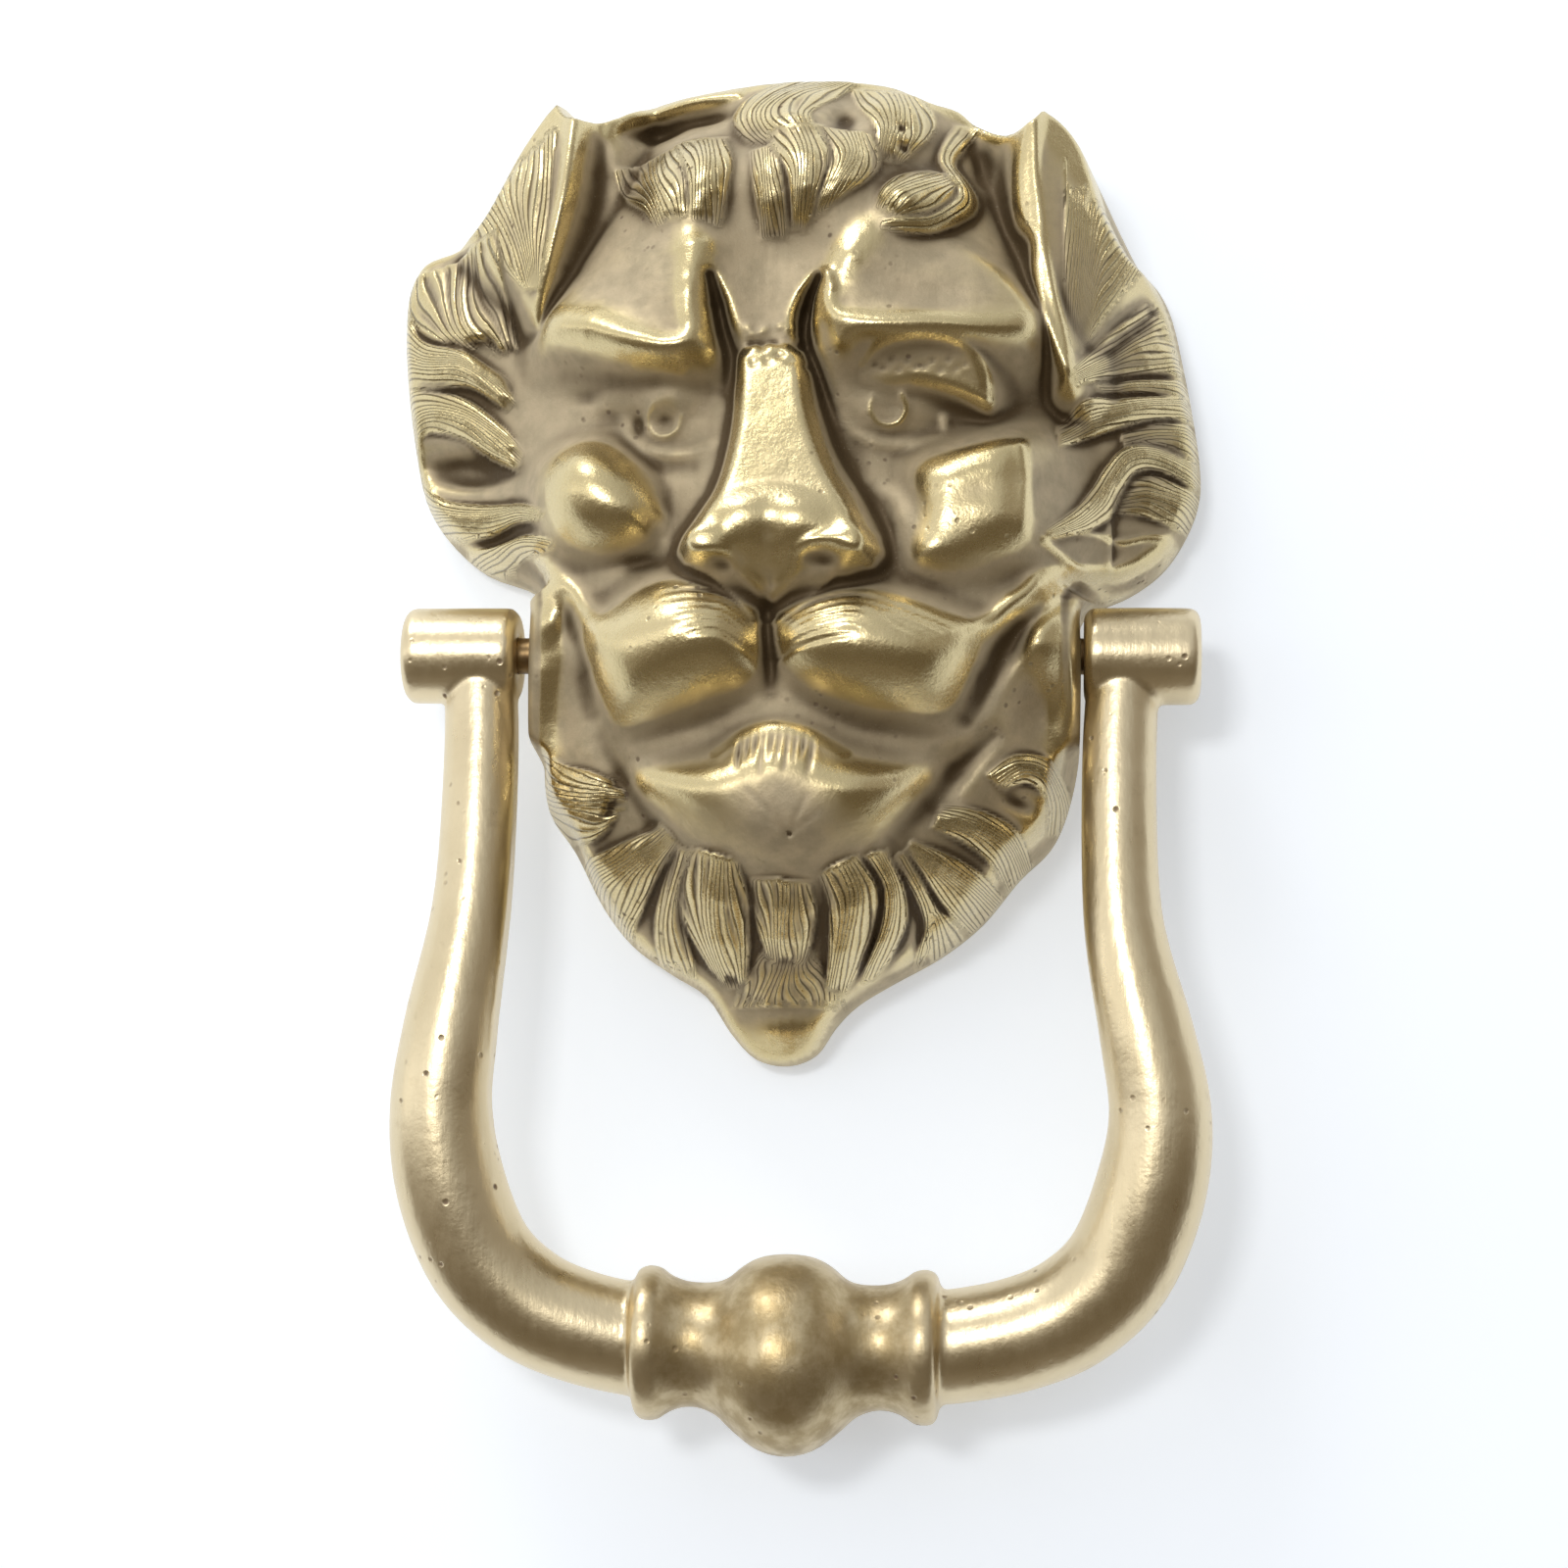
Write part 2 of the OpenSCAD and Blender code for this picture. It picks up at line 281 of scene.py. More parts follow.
        rows = np.rint((pz - self.z[0]) / STEP).astype(int)
        cols = np.rint((px - self.x[0]) / STEP).astype(int)
        r0, r1, c0, c1 = rows.min(), rows.max() + 1, cols.min(), cols.max() + 1
        w = (slice(r0, r1), slice(c0, c1))
        shape = (r1 - r0, c1 - c0)
        cell = ((rows - r0) * shape[1] + cols - c0).ravel()
        count = np.bincount(cell, minlength=shape[0] * shape[1]).reshape(shape)

        def mean(values):
            values = np.broadcast_to(values, px.shape).ravel()
            return np.bincount(cell, values, shape[0] * shape[1]).reshape(shape) / np.maximum(count, 1)

        made = np.where(count > 0, self.base[w] + mean(top), self.base[w] - 5)
        over = (made > self.H[w] - 0.3) & (count > 0)
        self.H[w] = blend_max(self.H[w], made, soft)
        for raster, values in ((self.bright, shine), (self.strand, phase), (self.hair, combed)):
            raster[w] = np.where(over, mean(values), raster[w])


# ---------------------------------------------------------------- the lion's face
# the mask's outline on the door: x, z
OUTLINE = [
    (0, 89.5), (8, 89.5), (15, 88.5), (21, 86), (27, 84.5), (31, 81),
    (36.5, 78.5), (40, 82), (45, 80.5), (50, 75), (55, 64.5), (58.5, 57.5),
    (62, 53.5), (64.5, 48), (66.5, 39), (68, 31), (69.3, 22), (69.3, 15),
    (66.5, 8), (62.5, 2.5), (57, -1.5), (51.5, -4), (48.2, -7), (48.2, -15),
    (48.2, -23), (47.9, -32), (46, -41), (43, -47.5), (37.5, -53), (31, -61),
    (23.5, -67), (15.5, -71.5), (9, -75.5), (5, -79.5), (1.5, -84.5), (-3.5, -86.5),
    (-9, -85.5), (-13.5, -81), (-18, -74.5), (-24.5, -70.5), (-31.5, -65.5), (-37, -58.5),
    (-42, -49), (-47, -41.5), (-48.2, -32), (-48.2, -23), (-48.2, -15), (-48.2, -6),
    (-51, -1), (-60, 2.5), (-66.5, 8), (-71, 15.5), (-73.5, 27), (-75, 38),
    (-75.5, 47), (-75, 54), (-72, 59.5), (-65, 62), (-60, 66), (-53, 76.5),
    (-48, 83.5), (-44, 86), (-41, 82), (-37, 82), (-29.5, 86.5), (-17, 88.5), (-8, 89.5),
]
# the plain form of the head under its features: x, z, height
FORM = [
    (0, 88, 25), (-12, 87, 24), (-22, 85, 22), (12, 86, 25), (21, 83, 24), (-33, 79.5, 19),
    (34, 76, 20), (-10, 78, 31), (10, 78, 31),
    (-24, 76, 25), (24, 74, 27),
    (-36, 66, 26), (-20, 68, 34), (0, 68, 37), (18, 66, 36), (34, 62, 29),
    (-41, 55, 30), (-31, 54, 38), (-17, 55, 42.5), (-4, 52, 40.5), (8, 55, 43), (24, 52, 41), (37, 52, 33),
    (-47, 42, 26), (-40, 41, 38), (-30, 42, 45), (-18, 43, 47), (-4, 43, 42.5), (7, 44, 47),
    (20, 43, 46), (34, 42, 43), (45, 40, 28),
    (-43, 27, 31), (-32, 24, 35.5), (-22, 23, 36.5), (-14, 20, 42), (6, 24, 41), (14, 22, 36.5),
    (24, 22, 35.5), (34, 24, 33), (45, 26, 27),
    (-50, 12, 27), (-42, 10, 35), (-33, 10, 40.5), (-22, 8, 40), (-16, 8, 43.5), (11, 8, 42),
    (18, 9, 39), (30, 9, 41.5), (39, 9, 36), (47, 10, 27),
    (-47, -5, 26), (-38, -6, 35), (-24, -5, 41), (-12, -6, 45), (6, -6, 44), (20, -6, 42),
    (34, -6, 38), (47, -6, 27),
    (-47, -18, 29.5), (-39, -18, 34), (-27, -18, 43), (-4, -16, 48), (20, -18, 44), (36, -18, 37),
    (47, -18, 30),
    (-45, -32, 25), (-31, -32, 37), (-14, -30.5, 42.5), (-2, -28, 45), (12, -30.5, 42.5),
    (28, -32, 37), (45, -32, 26),
    (-38, -45, 25), (-26, -42, 36), (-12, -43, 43), (0, -45, 46), (12, -43, 43), (25, -42, 36),
    (38, -45, 25),
    (-31, -58, 19), (-16, -57, 31), (0, -58, 37), (16, -57, 31), (30, -58, 19), (-22, -68, 14),
    (-2, -69, 23), (19, -68, 14),
    (-3, -82, 12), (-13, -77, 11), (9, -76, 11),
    (-71, 50, 13), (-60, 56, 17), (-60, 40, 22), (-72, 32, 13), (-60, 20, 20), (-53, 30, 25),
    (-68, 12, 13), (-55, 6, 19),
    (-49, 62, 24), (-48, 76, 19), (50, 66, 21), (57, 52, 18), (63, 42, 15), (53, 34, 24),
    (65, 24, 14), (55, 20, 23), (63, 8, 14),
    (51, 4, 22), (43, 66, 26),
]


def brows(r):
    # left brow: the forehead runs out to a crest that turns up beside the nose
    r.block([(-45, 39), (-43, 46), (-36, 53), (-26, 57), (-16, 58), (-12.6, 52), (-13.2, 45), (-13.6, 37),
            (-15, 32.4), (-19, 31.0), (-24, 31.2), (-30.2, 33.0), (-37, 35.8), (-42, 37)], 47.8, (-24, 36),
            (0.14, -0.40), crown=1.1, round_by=3.4, steep=1.5, soft=3.2, bright=0.2)
    r.ridge([(-42.6, 40.6), (-36.8, 38.6), (-30.2, 35.8), (-23.7, 33.9), (-19.6, 34.2), (-18, 36.4),
            (-18.6, 41), (-18.4, 46), (-17, 51)], (3.6, 4.6, 3.8, 2.4, 2.2, 2.8, 3.4),
            (0.9, 2.5, 2.3, 1.6, 1.5, 1.8, 1.2), bright=0.85)
    r.swell(-31, 45, 7, 5.5, -1.6)
    r.ridge([(-17.6, 47), (-18.2, 52), (-19.6, 57)], (3.6, 4.6, 4.4), (0.4, 2.0, 1.6), bright=0.35)
    r.ridge([(-41, 31.6), (-31, 29.6), (-22, 28.6), (-16, 28.4)], 2.4, (-0.6, -1.6, -1.8, -1.0))
    r.ridge([(-27, 31.4), (-20, 30.6)], 1.8, (0.2, 0.5), bright=0.35)
    # right brow
    r.block([(3.4, 45), (5, 53), (10, 58), (18, 57), (28, 54), (36, 48), (40.6, 41.5), (39, 36.4),
            (31, 35.0), (22, 35.4), (15, 34.8), (11, 34.4), (7.4, 33.6), (4.8, 37)], 47.6, (19, 38),
            (-0.08, -0.32), crown=0.8, round_by=2.6, steep=1.7, soft=2.8, bright=0.2)
    r.ridge([(4.6, 46), (5.2, 41), (7, 38.7), (10, 38), (15.4, 37.4), (21.8, 37.8), (29.5, 37.6),
            (36.4, 38.6)], (1.6, 2.2, 2.6, 2.4, 2.0), (1.1, 1.5, 1.6, 1.5, 1.2, 0.5), bright=0.9)
    r.ridge([(6.0, 45), (8.4, 50), (12.4, 54.6), (17, 58)], (3.4, 4.6, 4.8), (0.4, 2.2, 2.2, 1.2),
            bright=0.4)
    r.ridge([(12, 47.6), (15, 45.4), (21, 43.4), (30, 43)], 3.4, (-0.5, -1.2, -1.2, -0.4))
    r.block([(9.8, 28.6), (10.4, 32.4), (14.4, 35.4), (20.5, 36.6), (26.2, 35.8), (31, 33.6), (32.8, 30),
            (32.4, 24.8), (27.2, 26.8), (20.5, 28.4), (14.8, 28.0)], 43.8, (21, 34), (0.0, 0.40), crown=0.5,
            round_by=1.8, steep=1.6, soft=2.0, bright=0.55)
    r.ridge([(10.8, 31.4), (14.4, 34.4), (20.5, 35.7), (26.2, 35), (30.4, 32.8), (32, 29)], 0.9,
            (0.2, 0.6, 0.7, 0.4), bright=0.8)
    r.ridge([(20, 29), (26, 27.8), (31.8, 25.8)], 1.2, (0.2, 0.6, 0.8), bright=0.8)
    for k in range(12):
        r.swell(13 + 1.4 * k, 31.4 + 0.9 * np.sin(3.7 * k), 0.5, 0.45, -0.3)
    r.polish(-33, 40, 9, 4.6, 0.7, turn=-18)
    r.polish(-18.4, 43, 3.6, 9, 0.45)
    r.polish(12, 40.4, 7, 3, 0.4)
    r.polish(7.4, 48, 3.6, 7, 0.6, turn=-20)
    r.polish(11, 56, 4, 5, 0.35, turn=-40)
    r.polish(-19.4, 52, 4, 6, 0.35)
    r.polish(32, 40, 7, 2.6, 0.35)
    r.polish(-22, 31, 9, 2.6, 0.3)
    # the channels that split the brows from the root of the nose
    r.ridge([(-15.2, 46.8), (-14.2, 42.6), (-13.2, 38), (-12, 33.4), (-12, 28)], (0.8, 1.3, 1.5, 1.9, 2.4),
            (-3, -6, -6, -3.6, -1.2))
    r.ridge([(3.4, 46.4), (1.6, 43), (0.8, 39), (1.4, 34), (3.6, 28), (5.6, 21)], (0.8, 1.3, 1.5, 1.7, 2.2),
            (-4, -7, -7, -5, -3, -1))
    r.ridge([(2.3, 42.5), (4.2, 46.8), (6.0, 44)], 0.7, (0.2, 1.0, 0.6), bright=0.9)


def nose(r):
    r.ridge([(6, 26), (8.6, 18), (12, 10), (16, 4)], (2.4, 3, 3, 2.4), (-0.5, -1.4, -2.0, -1.4))
    r.block([(-9.6, 35), (-1, 35), (1.4, 31), (2.6, 24), (4.4, 17), (7, 10.6), (10.4, 4.6), (12.6, -1.4),
            (9, -4.6), (3, -5.4), (-3.6, -7.8), (-9, -5.6), (-14, -4.8), (-17.4, -1.2), (-15, 4),
            (-12.6, 8.6), (-11.2, 14), (-10.4, 21), (-10.4, 29)], 55.8, (-3.5, 4), (0.01, -0.30),
            crown=0.12, round_by=1.8, steep=3.4, soft=1.4, bright=1.0)
    dx, dz = (r.X + 3.2) / 13, (r.Z + 0.4) / 10.5
    ball = 57.6 - 9 * (1 - np.sqrt(np.maximum(1 - dx * dx - dz * dz, 0.0)))
    inside = dx * dx + dz * dz < 1
    r.H = np.where(inside, blend_max(r.H, ball, 3.0), r.H)
    low = np.where((np.abs(r.X + 3) < 22) & (r.Z < 8), 57.8 - 0.045 * np.maximum(4.5 - r.Z, 0)**2.05, 90)
    r.H = blend_min(r.H, np.where(r.Z > -13, low, 90), 3.0)
    r.swell(-8.6, 3.0, 4.4, 3.8, 1.3)
    r.swell(1.6, 2.6, 4.4, 3.6, 1.3)
    r.ridge([(-3.4, 4), (-3.6, 0), (-3.8, -5)], 2.2, (-0.3, -0.9, -0.5))
    for x in (-14.6, 10.6):
        r.swell(x, -1.8, 4.0, 3.2, 3.0, power=1.3)
    r.ridge([(0.6, -5.6), (1.8, -2.6), (5.2, -1.2), (9.4, -1.6), (12.6, -4.0)], 0.9, (0.3, 1.0, 1.3, 0.7),
            bright=0.8)
    r.ridge([(-17.4, -3.6), (-14.4, -2.6), (-11, -3.2), (-9.2, -5)], 0.9, (0.3, 0.8, 0.8, 0.3), bright=0.4)
    # nostrils: shallow hollows left unrubbed and darker, partly patina, partly painted shade standing in
    # for deeper nostril holes
    r.swell(6.2, -4.2, 3.8, 1.5, -1.5)
    r.swell(-12.8, -4.8, 3.6, 1.4, -1.2)
    r.polish(6.2, -3.8, 3.6, 1.4, -0.8)
    r.polish(-12.6, -4.0, 4.4, 2.2, -0.9)
    r.ridge([(-8.6, -5.4), (-6, -7.6), (-3.6, -9.6), (-1.2, -7.8), (0.8, -5.8)], 1.5,
            (0.2, 1.0, 1.4, 1.0, 0.2), bright=0.3)
    # rough root above the flat
    for k in range(14):
        r.swell(-9 + 0.8 * k, 33.4 + 2.4 * np.sin(2.3 * k), 0.8, 0.7, -0.6)
        r.swell(-8.6 + 0.75 * k, 36.2 + 2.0 * np.sin(1.9 * k + 1), 0.8, 0.7, 0.5)


def ring_line(x, z, radius, start, turn, count=7):
    angles = np.radians(start + turn * np.linspace(0, 1, count))
    return [(x + radius * np.cos(a), z + radius * np.sin(a)) for a in angles]


def eyes(r):
    r.swell(-22.4, 23, 5.4, 4.4, 2.6, power=1.3)
    r.swell(16.2, 24.4, 6.2, 4.2, 2.2, turn=8, power=1.3)
    r.ridge(ring_line(-23.2, 23.0, 3.0, 130, 230), 0.55, (0.2, 0.7, 0.7, 0.5), bright=0.12)
    r.ridge(ring_line(15.2, 24.9, 3.1, 150, 250), 0.55, (0.2, 0.7, 0.9, 0.8), bright=0.3)
    r.swell(-23.2, 23.2, 1.7, 1.7, -0.9)
    r.swell(15.2, 25.1, 1.9, 1.9, -0.6)
    r.swell(-28, 22.4, 1.0, 1.8, -0.7)
    r.swell(24.6, 22.8, 0.8, 1.3, 0.9)
    # lower lids and the bags under them
    r.ridge([(-31, 25), (-29.4, 20.4), (-25.6, 17.6), (-19, 16.8), (-13.6, 18.4)], 1.2,
            (0.2, 0.9, 0.9, 0.2))
    r.ridge([(-30, 18.6), (-25, 15), (-18, 14.2)], 1.6, -0.5)
    r.ridge([(7.4, 23), (10, 20.2), (14.4, 18.8), (20, 19.2), (26, 21)], 1.1, (0.2, 0.8, 0.8, 0.2))
    r.swell(-37.6, 28, 3, 1.6, -0.8)
    r.swell(-34, 24, 3, 1.4, -0.5)
    r.swell(10.6, 11, 3.2, 4, 1.2, turn=20)
    r.ridge([(13, 12), (17, 9.5), (19, 4.5)], 2.2, (0.3, 1.0, 1.2))


def cheekbones(r):
    r.block([(-43.5, 12), (-41, 17), (-35, 19), (-29, 16), (-23, 10), (-21.5, 3.5), (-25, -0.5), (-34, -1),
            (-41.5, 4)], 47.2, (-34, 11), (0.05, -0.03), crown=1.35, round_by=8.0, steep=1.5, soft=2.4,
            bright=0.8)
    r.ridge([(-25.6, 8.4), (-22.8, 5), (-22.8, 1.6)], 1.4, (0.3, 1.0, 0.4), bright=0.5)
    r.swell(-26, -2.4, 4, 2.0, -1.6)
    r.block([(20.4, 13.6), (27, 17), (38.2, 18.8), (39.4, 11), (39.4, 2), (33, -2.4), (26, -6),
            (18.6, -5.4), (17.6, 0), (20, 7)], 45.6, (30, 9), (-0.05, -0.01), crown=0.7, round_by=6.0,
            steep=1.2, soft=3.0, bright=0.7)
    r.ridge([(38.0, 17.8), (38.8, 12), (38.4, 3)], 1.2, (0.8, 1.0, 0.4), bright=0.2)
    r.ridge([(27, 15.4), (33, 17), (38, 17.8)], 1.3, (0.2, 0.5, 0.7), bright=0.15)
    r.ridge([(25, 9.4), (31, 9.8), (37, 12)], 2.6, (-0.2, -0.6, -0.3))
    r.swell(22.5, -1, 4.4, 3.6, 1.0)
    r.swell(17, 5, 2.6, 4, 1.2)


def muzzle(r):
    r.block([(-36, -14), (-31, -11), (-25, -7.4), (-18, -6.2), (-10, -8), (-5.6, -12), (-4.4, -18.6),
            (-6.4, -24), (-13, -26.4), (-21, -29), (-29.4, -30.4), (-33, -25), (-35.4, -19)], 55.2,
            (-16, -16), (0.08, 0.10), crown=1.3, round_by=9.5, steep=1.45, soft=3.0, bright=0.85)
    r.block([(-4.4, -14), (-1.8, -10.6), (4, -8.2), (10, -7.4), (18, -9.2), (26, -11.8), (31, -13.8),
            (30, -20), (25.6, -27.6), (17, -28.4), (8, -27), (1.0, -24), (-3.4, -19)], 55.2, (13, -16.5),
            (-0.08, 0.08), crown=1.2, round_by=9.0, steep=1.45, soft=3.0, bright=0.85)
    r.ridge([(-4.6, -9.5), (-4.4, -14), (-4.0, -19), (-3.6, -25)], (1.0, 1.4, 1.8), (-0.8, -2.4, -2.8, -1))
    # folds that run from the cheeks to the corners of the mouth
    r.ridge([(45, -2.4), (41.4, -4.6), (37.6, -8.2), (33.4, -12.4), (29, -15)], (1.8, 2.6, 2.6),
            (1.2, 3.6, 3.8, 2.6, 0.6), bright=0.6)
    r.ridge([(46, -6), (41.4, -9.6), (36.8, -14), (32.8, -20.6), (29, -28)], (1.8, 2.6, 2.8),
            (-1.5, -3, -3.6, -3.6, -2))
    r.ridge([(-44.4, -1), (-41, -4.4), (-37.4, -9), (-34.6, -13.6), (-33.4, -20)], (1.8, 2.4, 2.2),
            (0.8, 2.4, 2.4, 1.4, 0.3), bright=0.25)
    r.ridge([(-42, -8), (-39.4, -13), (-37, -18), (-35, -27)], (1.8, 2.4, 2.8), (-0.6, -1.8, -2.4, -1.6))
    # whiskers cut as short strokes that follow the lips' roots
    for k in range(6):
        low = 1.5 * k
        r.ridge([(-23 + 1.2 * k, -9.4 - low), (-17 + 0.6 * k, -8.6 - low), (-11, -9.6 - 0.9 * low),
                (-6.6, -13.4 - 0.8 * low)], 0.42, (-0.1, -0.6, -0.9, -0.6))
        r.ridge([(-2.6, -14.6 - 0.7 * low), (3, -11.2 - 0.9 * low), (10, -9.4 - low),
                (17 - 1.2 * k, -10.4 - low)], 0.42, (-0.4, -0.9, -0.6, -0.1))
    for k in range(4):
        r.ridge([(12 + 1.2 * k, -9.8 - 1.3 * k), (19, -11.8 - 1.2 * k), (27 - 1.5 * k, -14.6 - 0.8 * k)],
                0.42, (-0.3, -0.7, -0.3))


def chin(r):
    r.block([(-29, -38), (-20, -36), (-13, -34.4), (-7.6, -30.8), (-2.6, -29.8), (3, -31), (8.6, -34),
            (15, -35.8), (25, -37.2), (20.4, -44.4), (14.6, -50), (7.4, -53.8), (-0.8, -55), (-9, -53.8),
            (-16.4, -50.4), (-22.6, -44.4)], 51.0, (-1, -39), (0.0, 0.02), crown=0.9, round_by=8.5,
            steep=1.5, soft=3.0, bright=0.42)
    r.ridge([(-13, -35.4), (-7.6, -32), (-2.6, -31), (3, -32.2), (9, -35.4)], 1.6,
            (0.1, 0.7, 0.9, 0.7, 0.1), bright=1)
    r.swell(12, -40, 6, 4.5, 1.2)
    r.polish(11, -38.5, 8, 4, 0.5)
    r.polish(0, -50, 11, 5, -0.7)
    r.polish(-1, -45, 7, 6, -0.55)
    r.polish(-12, -44, 7, 4, -0.3)
    r.polish(-16, -39, 8, 3.4, 0.25)
    r.swell(-14, -41, 6, 4.5, 0.8)
    for k in range(10):
        x = -8.6 + 1.35 * k
        long = 3.4 + 1.8 * (k % 3 == 0) + 0.6 * (k % 2)
        r.ridge([(x, -32.0 - 0.06 * (k - 4.5)**2), (x - 0.3, -33.4 - long)], 0.42, (-0.2, -1.0, -0.3))
    for tip in ((-5, -46.5), (-7, -42), (-2.4, -44), (5, -46), (3, -43)):
        r.ridge([(0, -49.4), tip], 0.4, (-0.34, -0.12))
    r.ridge([(33, -31), (27, -37), (22.6, -42.6), (17, -49)], (1.8, 2.8, 2.4), (-1.5, -3.6, -3.4, -1.5))
    r.ridge([(-34, -32), (-29.6, -39), (-25, -46)], 2.2, (-1, -2.4, -1.6))


def cheeks(r):
    """The jaw's sides around the rod."""
    r.swell(-40.6, -25, 4.6, 7.5, -2.8, power=1.5)
    r.swell(-45.4, -8.4, 4.6, 6.0, 3.4, power=2.0)
    r.polish(-45, -8, 4.4, 5.4, 0.7)
    r.swell(42.8, -13, 4.6, 7.5, 3.8, power=1.5)
    r.polish(43.6, -13, 4, 6.5, 0.6)
    r.ridge([(46.8, -7), (47, -13), (46.6, -22), (45.6, -30)], 1.3, (1.0, 2.4, 2.2, 0.8), bright=0.8)
    r.swell(40.6, -26, 5.6, 6, -3.2)


def ears(r):
    # left ear: a bright ridge, a smooth dark front and a hairy back
    r.block([(-44, 88), (-52, 80), (-58, 68), (-62, 61), (-57, 54), (-50.5, 47.5), (-47, 41), (-45.2, 46),
            (-42.8, 56), (-40.6, 66), (-39.6, 76), (-40, 84)], 36.5, (-44, 60), (0.62, -0.10), crown=0.9,
            round_by=1.6, steep=1.5, soft=1.6, bright=0.2)
    r.ridge([(-40.8, 84), (-41, 76), (-41.3, 66), (-42.8, 57), (-45.4, 47), (-46.6, 41)],
            (1.7, 1.9, 1.6, 0.9), (0.8, 1.6, 1.8, 1.4, 0.5), bright=1)
    r.ridge([(-37, 78), (-36.6, 70), (-37.6, 61), (-41, 52)], (1.6, 2.6, 2.4), (-1.5, -3.4, -3, -1))
    r.base = r.H.copy()
    r.tuft([(-49.6, 48), (-55, 54), (-59.4, 59.4), (-62, 63)], [(-45.8, 47), (-44.6, 58), (-44, 69),
            (-43.4, 80)], (0.6, 1.8, 2.0, 1.0), 10, groove=0.95, bright=0.5, round_top=0.25)
    # right ear: a smooth strip and a hairy face
    r.block([(40, 82), (46, 80), (51.5, 74.5), (56, 64.5), (60.5, 56), (58.5, 50), (53, 42), (47.5, 32.5),
            (45.4, 37), (43.2, 46), (40.8, 60), (40.2, 72)], 37.0, (42.5, 58), (-0.62, -0.06), crown=0.7,
            round_by=1.4, steep=1.5, soft=1.4, bright=0.2)
    r.block([(39.6, 80), (37.4, 72), (36.6, 65), (37.4, 58.6), (39.6, 54.6), (39.8, 48), (42, 39),
            (45.6, 30), (46.2, 33), (44, 43), (42, 53), (40.8, 63), (40.6, 74)], 37.6, (40.5, 58),
            (0.16, 0.0), crown=0.0, round_by=1.0, steep=2.0, soft=0.9, bright=0.5)
    r.ridge([(38.4, 76), (36.9, 68), (37.2, 60), (39.8, 55), (40.2, 48), (42.4, 39), (45.6, 30.6)], 0.8,
            (0.3, 0.6, 0.9, 1.0, 0.9), bright=1)
    r.ridge([(40.4, 77), (40.4, 66), (41.4, 56), (43.4, 46), (45.4, 38), (46.2, 32)], 0.8,
            (0.4, 0.9, 0.9, 0.6), bright=0.8)
    r.base = r.H.copy()
    r.tuft([(46.2, 35.6), (45.2, 47), (44.8, 59), (44.6, 72)], [(48.4, 36), (53.4, 44.4), (58.4, 51.4),
            (61.5, 55.5)], (0.3, 0.9, 1.3, 0.8), 15, groove=0.6, bright=0.3, round_top=0.2, ragged=0.2)
    r.ridge([(34, 74), (34, 64), (36.4, 54), (39.6, 44)], 2.4, (-1, -2.2, -1.6, -0.6))


# how tufts merge with what is under them
OVER_BROW = {"soft": 1.2, "sink": 0.5}
LAID = {"soft": 1.1, "sink": 0.8}


